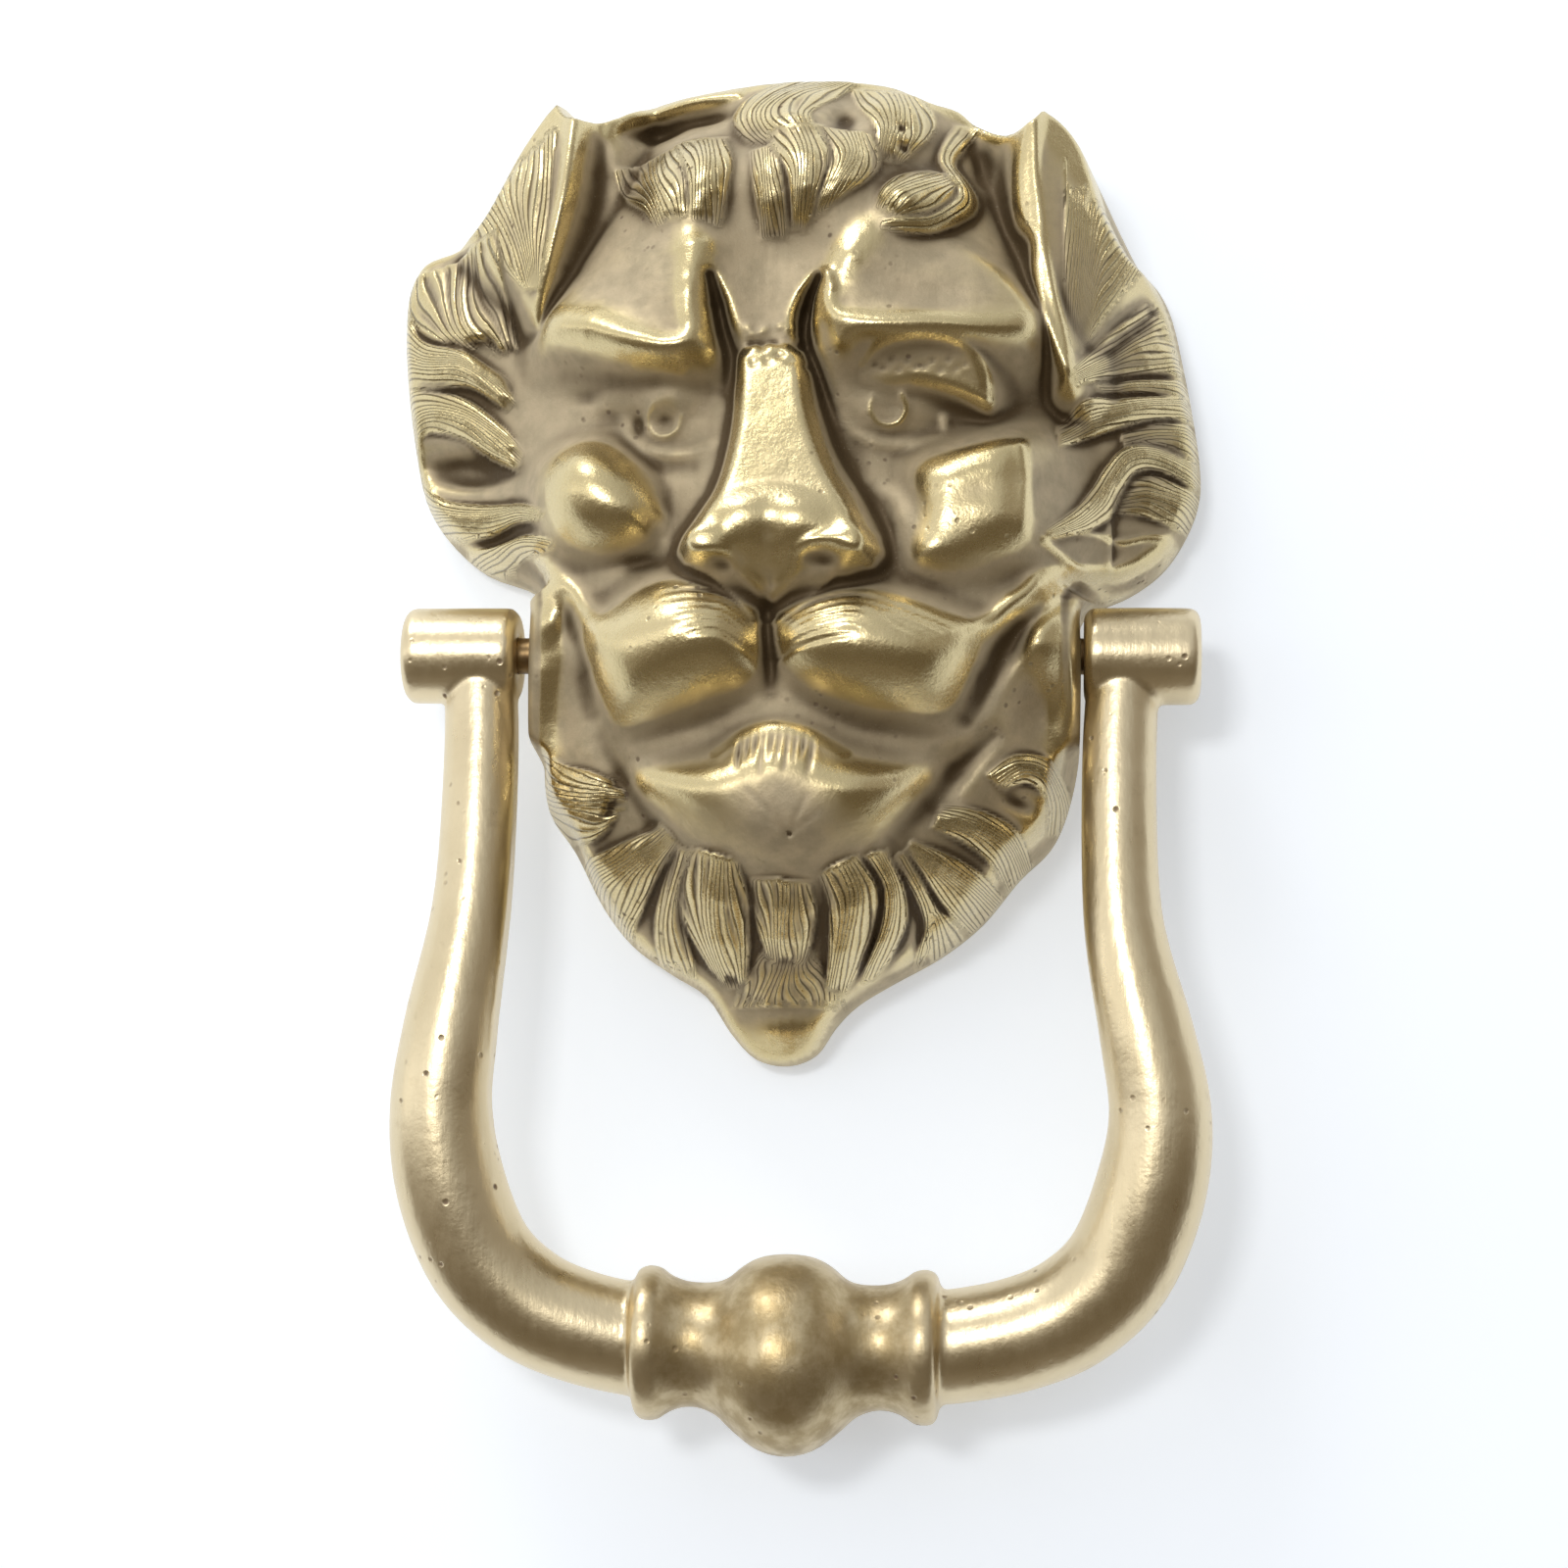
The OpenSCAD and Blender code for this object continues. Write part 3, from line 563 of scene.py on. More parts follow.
def forehead_hair(r):
    r.swell(-20.5, 67, 9.2, 9.0, 5.4, power=1.8)
    r.swell(1.5, 67, 11.6, 11, 6.2, power=1.8)
    r.swell(15.4, 77, 7.4, 7.6, 3.4, power=1.8)
    r.swell(-3, 79.4, 9.4, 5.6, 3.4, power=1.8)
    r.swell(21.5, 61.8, 8.2, 5.4, 5.0, turn=25, power=1.8)
    # bare rim of the crown on the left, with a dark hollow below it
    r.ridge([(-36, 77), (-31, 81.6), (-26, 83.4), (-20, 84.2), (-13, 84.6)], 1.5, (0.8, 2.2, 2.4, 1.6),
            bright=0.5)
    r.swell(-27, 79.6, 6, 2.2, -4.0, turn=12)
    r.swell(-18, 80.6, 4, 1.6, -2.6)
    r.swell(31, 72, 2.4, 4.6, -3.4)
    r.swell(7, 76.6, 2.4, 2.4, -2.2)
    r.base = r.H.copy()
    # the crown curls over to the left and comes down again as the middle tuft
    r.tuft([(0, 88.5), (-8, 85.4), (-13.4, 80), (-12, 75), (-7.4, 70.6)], [(9, 86.4), (4.6, 81.6),
            (1.6, 77.6), (2.2, 75), (3.4, 72.6)], (0.6, 1.6, 1.8, 1.8, 1.0), 8, groove=0.9, bright=0.35,
            round_top=0.25, **OVER_BROW)
    r.tuft([(7, 85), (9.2, 80), (12.0, 75.2), (12.6, 69)], [(20.4, 84), (22.6, 79.2), (21.6, 74.8),
            (17.2, 68.4)], (0.6, 1.8, 2.0, 0.8), 7, groove=0.9, bright=0.4, round_top=0.3, **OVER_BROW)
    r.swell(16.8, 75.4, 0.8, 0.8, -1.6)
    r.swell(17.2, 71.6, 0.8, 0.8, -1.4)
    # left tuft, fanning down on to the brow
    r.tuft([(-34.6, 70), (-32.6, 65), (-28.4, 60.4), (-25.6, 56.4)], [(-22.6, 74), (-21, 69.3),
            (-19.6, 63.7), (-19, 57.4)], (0.6, 1.8, 2.0, 0.8), 7, groove=1.0, bright=0.55, round_top=0.3,
            **OVER_BROW)
    r.tuft([(-24.0, 74.4), (-21.4, 69.3), (-19.8, 63.7), (-19.2, 57)], [(-13.6, 74.4), (-12, 68.4),
            (-12.4, 62.7), (-13.2, 55.6)], (0.8, 2.2, 2.4, 1.0), 6, groove=0.8, bright=0.85, round_top=0.4,
            **OVER_BROW)
    # middle tuft
    r.tuft([(-9.4, 70.4), (-8.6, 64.3), (-8.0, 59.6), (-7.2, 54.4)], [(-4.2, 71), (-3.0, 64.8),
            (-2.2, 59.6), (-1.8, 54)], (0.8, 2.0, 2.2, 0.9), 6, groove=1.0, bright=0.6, round_top=0.35,
            **OVER_BROW)
    r.tuft([(2.0, 74.6), (5.0, 68.8), (4.2, 63.5), (1.8, 56.4)], [(12.4, 73.4), (13.6, 68.4), (11.8, 64.0),
            (7.4, 60.0)], (0.8, 2.2, 2.4, 0.9), 7, groove=1.0, bright=0.55, round_top=0.35, **OVER_BROW)
    r.tuft([(-7.4, 73.4), (-4.4, 68.4), (-2.2, 63.4), (-1.6, 55.6)], [(3.2, 74.6), (5.2, 68.6), (4.2, 62.6),
            (1.4, 55)], (1.2, 3.0, 3.2, 1.2), 6, groove=0.8, bright=1.0, round_top=0.45, **OVER_BROW)
    for x, z in ((-25, 66), (-16.6, 67), (-0.6, 66), (9, 69), (16, 78), (-7, 78), (22, 62)):
        r.polish(x, z, 2.4, 5, 0.25)
    # right tuft and the long strand curling round it
    r.tuft([(21.6, 68), (16.6, 66), (13.4, 62.6), (12.6, 59)], [(29, 66), (27.6, 61.4), (23.4, 57.8),
            (17.4, 55.8)], (0.8, 2.0, 2.2, 1.0), 7, groove=1.1, bright=0.7, round_top=0.35, **OVER_BROW)
    r.tuft([(25.4, 79.6), (23.4, 74.6), (22.8, 70.6), (24.4, 67), (26.6, 63.6), (25.4, 60.6), (21.4, 57.4),
            (14, 56.4)], [(30.6, 78.6), (27.6, 74), (26.4, 70.2), (28.6, 66.4), (30.4, 62.2), (28.6, 58.2),
            (22.4, 54.2), (14, 54)], (0.8, 2.2, 2.6, 2.8, 2.8, 2.2, 0.8), 2, groove=0.5, bright=0.6,
            **OVER_BROW)


def manes(r):
    r.base = r.H.copy()
    # left
    r.tuft([(-75, 56), (-74, 49), (-69.6, 43), (-62, 39.4)], [(-54.4, 59), (-53.4, 51), (-52, 43.6),
            (-50.2, 37)], (1.2, 2.8, 3.0, 1.0), 8, groove=1.0, bright=0.5, round_top=0.3, ragged=0.2)
    r.tuft([(-76, 53), (-71, 44), (-62, 40), (-51.4, 32.6)], [(-76, 35.6), (-69, 33.4), (-60, 32.2),
            (-51, 26)], (1.2, 3.4, 3.8, 1.0), 9, groove=0.95, bright=0.9, round_top=0.3, swing=0.6)
    r.swell(-61.6, 18.8, 9.6, 3.2, -4.6, turn=-12, power=1.5)
    r.tuft([(-76, 35), (-68, 33.8), (-60, 30.4), (-53, 24.6), (-49.4, 20.2)], [(-72.6, 22.8), (-69, 25.8),
            (-62, 23.8), (-56, 19.8), (-50.6, 16.8)], (1.2, 3.0, 3.2, 2.4, 0.8), 7, groove=0.85,
            bright=0.75, round_top=0.3, **LAID)
    r.tuft([(-70.8, 25), (-71.2, 18.6), (-66, 14), (-58, 12.2), (-50, 10.8), (-44, 7.6)], [(-76, 22),
            (-73, 12), (-66, 7.4), (-58, 6.2), (-51, 7.2), (-44.6, 6.0)], (1.0, 3.0, 3.4, 3.4, 3.0, 0.8), 7,
            groove=0.95, bright=0.85, round_top=0.3, **LAID)
    r.ridge([(-64, 5.6), (-57, 5.6), (-50, 6.4), (-46, 5.4)], 0.9, (-0.8, -1.8, -1.6, -0.6))
    r.tuft([(-71.6, 11), (-66, 5.2), (-58, 4.6), (-50, 5.2), (-42, 2.6)], [(-70, 5.6), (-63, 2.0),
            (-56, 1.0), (-50, 1.8), (-43, 0.4)], (1.0, 2.8, 3.2, 3.0, 0.8), 4, groove=0.9, bright=0.75,
            round_top=0.3, **LAID)
    # right
    r.tuft([(46.6, 31.8), (50, 37), (55, 43), (61, 49.4)], [(47.4, 29.4), (53, 32.2), (59, 34.6),
            (68, 36.6)], (0.6, 2.2, 2.8, 1.2), 8, groove=0.8, bright=0.45, round_top=0.3, **LAID)
    r.tuft([(50, 31), (56, 33.4), (62, 34.8), (69, 36)], [(52, 29.6), (58, 31.0), (63, 31.4), (70, 31)],
            (0.6, 2.0, 2.2, 1.0), 3, groove=0.6, bright=0.35, round_top=0.3, **LAID)
    r.tuft([(55, 24.4), (60, 26.6), (65, 27.6), (71, 27.6)], [(56, 20), (61, 21.2), (66, 21.2), (71, 19.4)],
            (0.8, 2.0, 2.4, 1.2), 5, groove=0.6, bright=0.3, round_top=0.3, **LAID)
    r.tuft([(44, 24), (49, 28), (55, 30), (62, 31.8), (70, 33.4)], [(44.6, 19), (50, 22.0), (55, 24.2),
            (62, 26.8), (70, 28.4)], (0.8, 3.6, 4.2, 3.2, 1.2), 6, groove=0.95, bright=1.0, round_top=0.35,
            **LAID)
    r.tuft([(42, 3.8), (46.4, 8.2), (49.6, 12.8), (52.4, 17.8), (56, 21.6), (62, 22.6), (71, 20.4)],
            [(43.4, 2.4), (49.2, 5.2), (53.4, 8.8), (55.4, 13), (58, 16.8), (62.5, 17.6), (71, 14.8)],
            (0.6, 2.2, 3.0, 3.2, 3.2, 2.8, 1.2), 6, groove=0.8, bright=0.5, round_top=0.3, **LAID)
    r.tuft([(55.8, 16.4), (60, 17.6), (65, 16.8), (71, 14.8)],
            [(54.4, 9.4), (59, 9.8), (64, 8.8), (70, 7.2)], (0.8, 2.8, 3.0, 1.4), 6, groove=0.95,
            bright=0.6, round_top=0.3, **LAID)
    r.swell(66, 7.4, 2.0, 1.2, -2.4)
    # leaf-shaped tip
    r.ridge([(42, 2.4), (46, 4.4), (50.6, 5.2), (55.4, 5.0), (60, 6.4), (63.6, 6.2), (63.2, 4.4)], 0.7,
            (0.4, 0.9, 0.8, 0.8, 1.0, 1.0, 0.5), bright=0.6)
    r.ridge([(42, 1.8), (46, -0.4), (50.6, -2.2), (54.6, -2.8), (58.6, -1.4), (62.4, 1.6), (65.4, 6)], 0.8,
            (0.6, 1.5, 1.7, 1.7, 1.7, 1.0), bright=0.85)
    r.swell(53.5, 1.4, 8, 2.6, -1.0, turn=4, power=1.4)
    r.polish(53.5, 1.4, 8, 3, -0.5)


def beard(r):
    r.base = r.H.copy()
    r.tuft([(-47, -31.6), (-42, -35), (-36, -36.8), (-27.4, -40)], [(-49.6, -43), (-43.6, -47.6),
            (-37, -49), (-31, -46)], (1.2, 3.8, 4.4, 1.0), 8, groove=1.1, bright=0.8, round_top=0.4,
            ragged=0.2)
    r.tuft([(-23.4, -46.6), (-29, -48.4), (-35, -50.2), (-42, -51.4)], [(-19.6, -50.4), (-24.6, -56),
            (-28.8, -62), (-31.6, -67)], (1.2, 3.8, 4.4, 1.6), 10, groove=1.1, bright=0.8, round_top=0.35,
            **LAID)
    r.tuft([(-20.6, -50.4), (-24.4, -57), (-26.6, -63), (-26.6, -70)], [(-16.6, -52), (-18.8, -58),
            (-19.6, -64), (-18, -72)], (1.0, 2.6, 2.8, 1.0), 4, groove=1.1, bright=0.4, round_top=0.35,
            **LAID)
    r.tuft([(-7.4, -56), (-7.6, -60), (-7.0, -65), (-5.6, -70)], [(3.4, -56.8), (3.8, -61), (2.6, -66),
            (1, -70.4)], (1.2, 3.2, 3.4, 0.8), 8, groove=1.1, bright=0.5, round_top=0.35, **LAID)
    r.tuft([(16.4, -52.6), (19.6, -58), (20.6, -63), (18.4, -70.6)], [(19, -50.6), (22.6, -57), (24, -61),
            (21.6, -67)], (0.8, 2.4, 2.4, 0.8), 3, groove=1.1, bright=0.35, round_top=0.35, **LAID)
    r.tuft([(-17.8, -51), (-21, -57), (-20.4, -63.6), (-15, -73)], [(-8.6, -53.6), (-7.4, -59.6), (-8, -66),
            (-9.4, -74)], (1.6, 5.0, 5.2, 1.4), 8, groove=1.1, bright=0.9, round_top=0.45, **LAID)
    r.tuft([(12, -52.4), (14.6, -57.4), (13.4, -64), (9, -72.6)], [(16, -51), (18.8, -57.6), (18, -64),
            (13.6, -71)], (1.4, 4.0, 4.4, 1.2), 5, groove=1.1, bright=0.55, round_top=0.4, **LAID)
    r.tuft([(4.2, -55.6), (5.4, -60), (4.8, -66), (3.6, -74.4)], [(11.4, -52), (14.4, -57), (13.2, -64),
            (8.2, -74)], (1.6, 5.4, 5.4, 1.4), 6, groove=1.1, bright=1.0, round_top=0.45, **LAID)
    r.tuft([(20, -49), (25.4, -50.6), (30.6, -53), (36, -57)], [(19, -51), (22.6, -57), (26.4, -61.6),
            (30.6, -65.4)], (1.0, 3.8, 4.2, 1.4), 9, groove=1.1, bright=0.6, round_top=0.35, **LAID)
    r.tuft([(21, -59.6), (21.6, -63), (21, -69.6)], [(24, -59), (27.6, -62.4), (30, -66)], (1.0, 3.2, 1.4),
            4, groove=1.1, bright=0.75)
    r.ridge([(19.4, -58), (21, -62.4), (19.6, -69)], 1.0, (-0.8, -2.4, -2))
    r.tuft([(25, -42.8), (32, -43.6), (38, -46.8), (41, -53.6)], [(23, -47.4), (28.6, -49.4), (33.4, -53),
            (36.2, -59)], (0.8, 3.6, 3.8, 1.2), 8, groove=1.1, bright=0.55, round_top=0.35, **LAID)
    r.tuft([(32, -37.4), (37, -33.8), (42.4, -34), (46.4, -38), (47.6, -44)], [(35.6, -40), (39, -38.6),
            (41.6, -39.8), (42.6, -42.4), (41.6, -46.6)], (0.8, 3.4, 4.2, 4.2, 1.6), 5, groove=1.1,
            bright=0.75, round_top=0.4, **LAID)
    r.swell(37.6, -41.6, 3.2, 1.5, -1.8, turn=-20)
    r.tuft([(-6.4, -67.6), (-10.4, -72.4), (-12.6, -76.6)], [(2.6, -67.6), (5.6, -72.4), (7.2, -76.6)],
            (0.2, 1.2, 0.6), 10, groove=0.9, bright=0.5, round_top=0.3, ragged=0.25, soft=1.8, sink=0.3)
    r.swell(-3, -81, 7, 3, 1.5)
    r.polish(-3, -82, 9, 4, 0.6)


def carve():
    r = Relief()
    r.drape(FORM)
    for feature in (brows, nose, eyes, cheekbones, muzzle, chin, cheeks, ears, forehead_hair, manes, beard):
        feature(r)
    return r


# ---------------------------------------------------------------- meshes
def mesh_object(name, points, faces):
    """A mesh from points (x, height above the door, z) in millimetres."""
    p = np.asarray(points, float)
    mesh = bpy.data.meshes.new(name)
    mesh.from_pydata(np.column_stack([p[:, 0], -p[:, 1], p[:, 2]]) * MM, [], faces)
    mesh.validate()
    bm = bmesh.new()
    bm.from_mesh(mesh)
    bmesh.ops.recalc_face_normals(bm, faces=bm.faces)
    bm.to_mesh(mesh)
    bm.free()
    return placed(name, mesh)


def placed(name, data):
    thing = bpy.data.objects.new(name, data)
    bpy.context.collection.objects.link(thing)
    return thing


def take_over(thing, node, body, material):
    """The piece rides on its body in place of the CAD node."""
    thing.data.shade_smooth()
    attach(thing, body)
    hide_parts(node)
    thing.data.materials.append(material)


def nearest_on(ring, x, z):
    """Nearest point of a closed outline, and its place along it."""
    closed = np.vstack([ring, ring[:1]])
    best = np.full(x.shape, np.inf)
    px, pz, along = np.zeros(x.shape), np.zeros(x.shape), np.zeros(x.shape)
    for k, ((ax, az), (bx, bz)) in enumerate(zip(closed[:-1], closed[1:])):
        dx, dz = bx - ax, bz - az
        f = np.clip(((x - ax) * dx + (z - az) * dz) / (dx * dx + dz * dz), 0, 1)
        qx, qz = ax + f * dx, az + f * dz
        d2 = (x - qx)**2 + (z - qz)**2
        near = d2 < best
        best = np.where(near, d2, best)
        px, pz, along = np.where(near, qx, px), np.where(near, qz, pz), np.where(near, k + f, along)
    return px, pz, along


def edge_loop(quads):
    """The points round the sheet's edge, in order: edges that only one quad uses."""
    follow = {}
    for k in range(4):
        for u, v in zip(quads[:, k].tolist(), quads[:, (k + 1) % 4].tolist()):
            if (v, u) in follow:
                del follow[(v, u)]
            else:
                follow[(u, v)] = True
    after = dict(follow.keys())
    start = next(iter(after))
    loop = [start]
    while after[loop[-1]] != start:
        loop.append(after[loop[-1]])
    if len(loop) != len(after):
        raise RuntimeError("the sheet's edge isn't one simple loop")
    return np.array(loop)


def sheet_grid(ring, step):
    """A square grid cut to an outline, its edge points moved on to the outline.

    Returns flat positions, quads, the edge points in order, and their places round the outline."""
    ring = np.asarray(ring, float)
    x = np.arange(ring[:, 0].min() - step, ring[:, 0].max() + 2 * step, step)
    z = np.arange(ring[:, 1].min() - step, ring[:, 1].max() + 2 * step, step)
    X, Z = np.meshgrid(x, z)
    deep = inside_distance(X[::4, ::4], Z[::4, ::4], ring)
    near, keep = (np.kron(part, np.ones((4, 4), bool))[:X.shape[0], :X.shape[1]]
                  for part in (np.abs(deep) < 4.5 * step, deep > 0))
    keep[near] = inside_distance(X[near], Z[near], ring) > 0.3 * step
    cell = keep[:-1, :-1] & keep[1:, :-1] & keep[:-1, 1:] & keep[1:, 1:]
    used = np.zeros(keep.shape, bool)
    for a in (0, 1):
        for b in (0, 1):
            used[a:used.shape[0] - 1 + a, b:used.shape[1] - 1 + b] |= cell
    ids = np.full(keep.shape, -1)
    ids[used] = np.arange(used.sum())
    rows, cols = np.nonzero(cell)
    corners = ((0, 0), (0, 1), (1, 1), (1, 0))
    quads = np.stack([ids[rows + up, cols + over] for up, over in corners], 1)
    flat = np.stack([X[used], Z[used]], 1)
    loop = edge_loop(quads)
    px, pz, along = nearest_on(ring, flat[loop, 0], flat[loop, 1])
    # the shift at the edge fades out over the next few points
    edge = tuple(np.argwhere(used)[loop].T)
    pull = np.stack([px - flat[loop, 0], pz - flat[loop, 1]], 1)
    shift = np.zeros(X.shape + (2,))
    weight = np.zeros(X.shape)
    shift[edge] = pull
    weight[edge] = 1
    for _ in range(4):
        for axis in (0, 1):
            shift, weight = ((np.roll(v, 1, axis) + np.roll(v, -1, axis) + v) / 3 for v in (shift, weight))
    moved = shift / np.maximum(weight, 1e-9)[..., None] * np.minimum(1.6 * weight, 1)[..., None]
    moved[edge] = pull
    return flat + moved[used], quads.tolist(), loop, along


def zip_rings(a, along_a, b, along_b, turn):
    """Triangles between two closed rings, matched by their places round the outline."""
    ends = []
    for ring, along in ((a, along_a), (b, along_b)):
        first = np.argmin(along)
        ring, along = np.roll(ring, -first), np.roll(along, -first)
        if along[len(ring) // 2] < along[len(ring) // 4]:
            ring, along = ring[::-1], along[::-1]
        ends.append((ring, np.append(along, along[0] + turn)))
    (a, pa), (b, pb) = ends
    i = j = 0
    faces = []
    while i < len(a) or j < len(b):
        if j >= len(b) or (i < len(a) and pa[i + 1] <= pb[j + 1]):
            faces.append((a[i % len(a)], a[(i + 1) % len(a)], b[j % len(b)]))
            i += 1
        else:
            faces.append((a[i % len(a)], b[(j + 1) % len(b)], b[j % len(b)]))
            j += 1
    return [tuple(int(v) for v in f) for f in faces]


def quad_rows(rows, sides, closed):
    """Faces of a tube whose points come ring by ring, with its ends joined or capped."""
    faces = []
    for k in range(rows if closed else rows - 1):
        p, q = k * sides, ((k + 1) % rows) * sides
        faces += [(p + i, p + (i + 1) % sides, q + (i + 1) % sides, q + i) for i in range(sides)]
    if not closed:
        faces += [tuple(range(sides)), tuple(range((rows - 1) * sides, rows * sides))]
    return faces


def turned(profile, centre, axis, sides):
    """A turned ring or solid. The profile's points are (place along the axis, radius)."""
    a = 2 * np.pi * np.arange(sides) / sides
    points = []
    for along, radius in profile:
        c, s, l = radius * np.cos(a), radius * np.sin(a), np.full(sides, float(along))
        local = {"x": (l, c, s), "y": (c, l, s)}[axis]
        points.append(np.stack(local, 1) + np.asarray(centre, float))
    return np.concatenate(points), quad_rows(len(profile), sides, True)


def joined(*shapes):
    points, faces, base = [], [], 0
    for p, f in shapes:
        points.append(np.asarray(p, float))
        faces += [tuple(v + base for v in face) for face in f]
        base += len(p)
    return np.concatenate(points), faces


# ---------------------------------------------------------------- the lion mask
SKIN_STEP = 0.47
HOLLOW_STEP = 2.4
WALL = 5.5
THIN_WALL = 2.5
BACK_RIM = 4.5
NOSE_LIMIT = 58.0
EDGE_SOFT = 5.0
RIM_UP = 6.0
CHEEK_UP = 20.0
LIP_UP = 0.5
LIP_IN = 0.4
MASK_CENTRE = np.array([-2.0, 12.0])
POST_UP = 50.0
POST_L = 30.0
POST_R = 6.5
FIXING_R = 3.0
FIXING_DEPTH = 14.0
LUG_L = 11.0
LUG_R = 5.4
LUG_X = 40.6


def rim_foot(x, z):
    """Height of the upright band at the mask's edge; the cheeks' sides stand upright to above the rod."""
    side = smooth((np.abs(x) - 28) / 6) * smooth((z + 34) / 5) * smooth((-3.5 - z) / 3)
    return RIM_UP + CHEEK_UP * side


def rim_wall(d, foot, z):
    """The hair at the crown overhangs more steeply than the rest of the edge."""
    return foot + (5.2 + 3.5 * smooth((z - 60) / 16)) * np.maximum(d, 0) + 0.9 * np.maximum(d - 2.5, 0)**1.5


def hollow(raster, ring):
    """The inside of the casting: a wall's thickness under the face, and thinner under its deep channels."""
    flat, quads, loop, along = sheet_grid(ring, HOLLOW_STEP)
    x, z = flat.T
    lowest = raster.H
    for reach in (2, 4):
        for axis in (0, 1):
            beside = np.minimum(np.roll(lowest, reach, axis), np.roll(lowest, -reach, axis))
            lowest = np.minimum(lowest, beside)
    roof = raster.read(np.minimum(blur(raster.H, 3.0) - WALL, lowest - THIN_WALL), x, z)
    height = np.maximum(blend_min(roof, 4.6 * np.maximum(inside_distance(x, z, ring), 0), 4.0), 0)
    height[loop] = 0
    return np.column_stack([x, height, z]), quads, loop, along


def posts_and_lugs():
    """The two tapped bosses behind the mask, and the tubes that carry the rod."""
    shapes = []
    post = [(0.0, FIXING_R + 0.4), (0.4, FIXING_R), (FIXING_DEPTH, FIXING_R), (FIXING_DEPTH + 1.6, 0.02),
            (POST_L, 0.02), (POST_L, POST_R), (0.4, POST_R), (0.0, POST_R - 0.4)]
    lug = [(0.0, BORE_R), (LUG_L, BORE_R), (LUG_L, LUG_R), (0.0, LUG_R)]
    for side in (-1, 1):
        shapes.append(turned(post, (0, 0, POST_UP * side), "y", 40))
        shapes.append(turned(lug, (LUG_X * side - LUG_L / 2, PIVOT_OUT, -PIVOT_DOWN), "x", 40))
    return shapes


def lion_mask():
    raster = carve()
    outline = spline(OUTLINE, 4, closed=True)
    flat, quads, loop, along = sheet_grid(outline, SKIN_STEP)
    x, z = flat.T
    d = inside_distance(x, z, outline)
    height = blend_min(raster.read(raster.H, x, z), rim_wall(d, rim_foot(x, z), z), EDGE_SOFT)
    height = blend_min(height, NOSE_LIMIT, 2.0)
    # how far each place stands out from what is near it and from what is further round
    wall = np.maximum(rim_wall(raster.distance_inside(outline), RIM_UP, raster.Z), -2)
    whole = blend_min(raster.H, wall, EDGE_SOFT)
    small = raster.read(whole - blur(whole, 0.8), x, z)
    broad = np.maximum(raster.read(whole - blur(whole, 4.0), x, z), -2.8)
    small, broad = (np.where(v < 0, v * smooth(d / 5), v) for v in (small, broad))

    edge = flat[loop]
    inward = MASK_CENTRE - edge
    inward /= np.hypot(*inward.T)[:, None]
    foot = edge + LIP_IN * inward
    away = outline[::2] - MASK_CENTRE
    ring = MASK_CENTRE + away * (1 - BACK_RIM / np.hypot(*away.T))[:, None]
    inner, quads_in, loop_in, along_in = hollow(raster, ring)
    n, m = len(flat), len(loop)
    rims = [np.column_stack([line[:, 0], np.full(m, up), line[:, 1]])
            for line, up in ((edge, LIP_UP), (foot, 0.0))]
    points = np.concatenate([np.column_stack([x, height, z]), *rims, inner])
    faces = quads
    for k in range(m):
        q = (k + 1) % m
        faces.append((int(loop[q]), int(loop[k]), n + k, n + q))
        faces.append((n + q, n + k, n + m + k, n + m + q))
    first = n + 2 * m
    faces += zip_rings(np.arange(n + m, first), along, first + loop_in, 2 * along_in, len(outline))
    faces += [tuple(v + first for v in reversed(face)) for face in quads_in]
    points, faces = joined((points, faces), *posts_and_lugs())
    thing = mesh_object("lion_mask_casting", points, faces)
    # what the finish reads: how rubbed, how far out, how near the edge, and the combing of the hair
    read = {name: raster.read(values, x, z)
            for name, values in (("rub", raster.bright), ("strand", raster.strand), ("hair", raster.hair))}
    # band: nearness to the edge, and 1 on the rims, back and posts; the finish brightens it, partly as
    # rubbed brass, partly as painted reflection of the pale board
    traits = {**read, "small": small, "broad": broad, "band": smooth(1.3 - d / 4)}
    elsewhere = {"rub": 0.1, "band": 1.0}
    for name, values in traits.items():
        values = np.concatenate([values, np.full(len(points) - n, elsewhere.get(name, 0.0))])
        layer = thing.data.attributes.new(name, "FLOAT", "POINT")
        layer.data.foreach_set("value", values.astype(np.float32))
    take_over(thing, "lion_mask", "mask", mask_finish())


# ---------------------------------------------------------------- the bail handle
LOOP_HALF = 49.7
BOSS_L = 20.3
BOSS_R = 8.45
HANDLE_X = -1.0
ARM_BOW = 6.5
LOOP_LEAN = 1.2
BALUSTER_X = -1.6
BALL_AXIS_Z = -134.7
SKIN_CELL = 0.62
# half of the handle's middle line: distance from the middle, bow, z, radius, flatness of the inner side
ARM = [
    (56.6, 0, -15.2, 6.6, 0.90), (55.6, 0.3, -33, 6.75, 0.90), (56.1, 0.75, -60, 7.1, 0.90),
    (59.7, 1, -81, 8.3, 0.94), (61.6, 1, -95, 8.9, 0.96), (59.9, 0.85, -108, 9.5, 1),
    (54.8, 0.55, -120.5, 9.6, 1), (46.8, 0.3, -128.2, 9.7, 1), (37.5, 0.15, -132.2, 9.7, 1),
    (27.5, 0, -134.3, 9.7, 1), (22, 0, -134.7, 9.7, 1),
]
# turned middle: distance from the ball, upper radius, lower radius
BALUSTER = [
    (26.4, 9.2, 9.2), (26.0, 11.6, 11.6), (25.2, 12.9, 12.9), (23.6, 13.2, 13.2), (21.9, 12.9, 12.9),
    (20.3, 11.7, 11.8), (17.8, 10.7, 10.9), (15, 10.4, 10.9), (12, 10.6, 12.1), (10, 11.4, 13.9),
    (8, 13.1, 15.6), (5.5, 14.6, 17.4), (2.8, 15.3, 18.5), (0, 15.5, 18.9),
]
# foot that strikes the door: height above it, radius
STRIKING_FOOT = [(0.4, 0.02), (0.4, 7.0), (0.9, 7.5), (8.0, 9.6), (19.0, 14.4), (19.0, 0.02)]


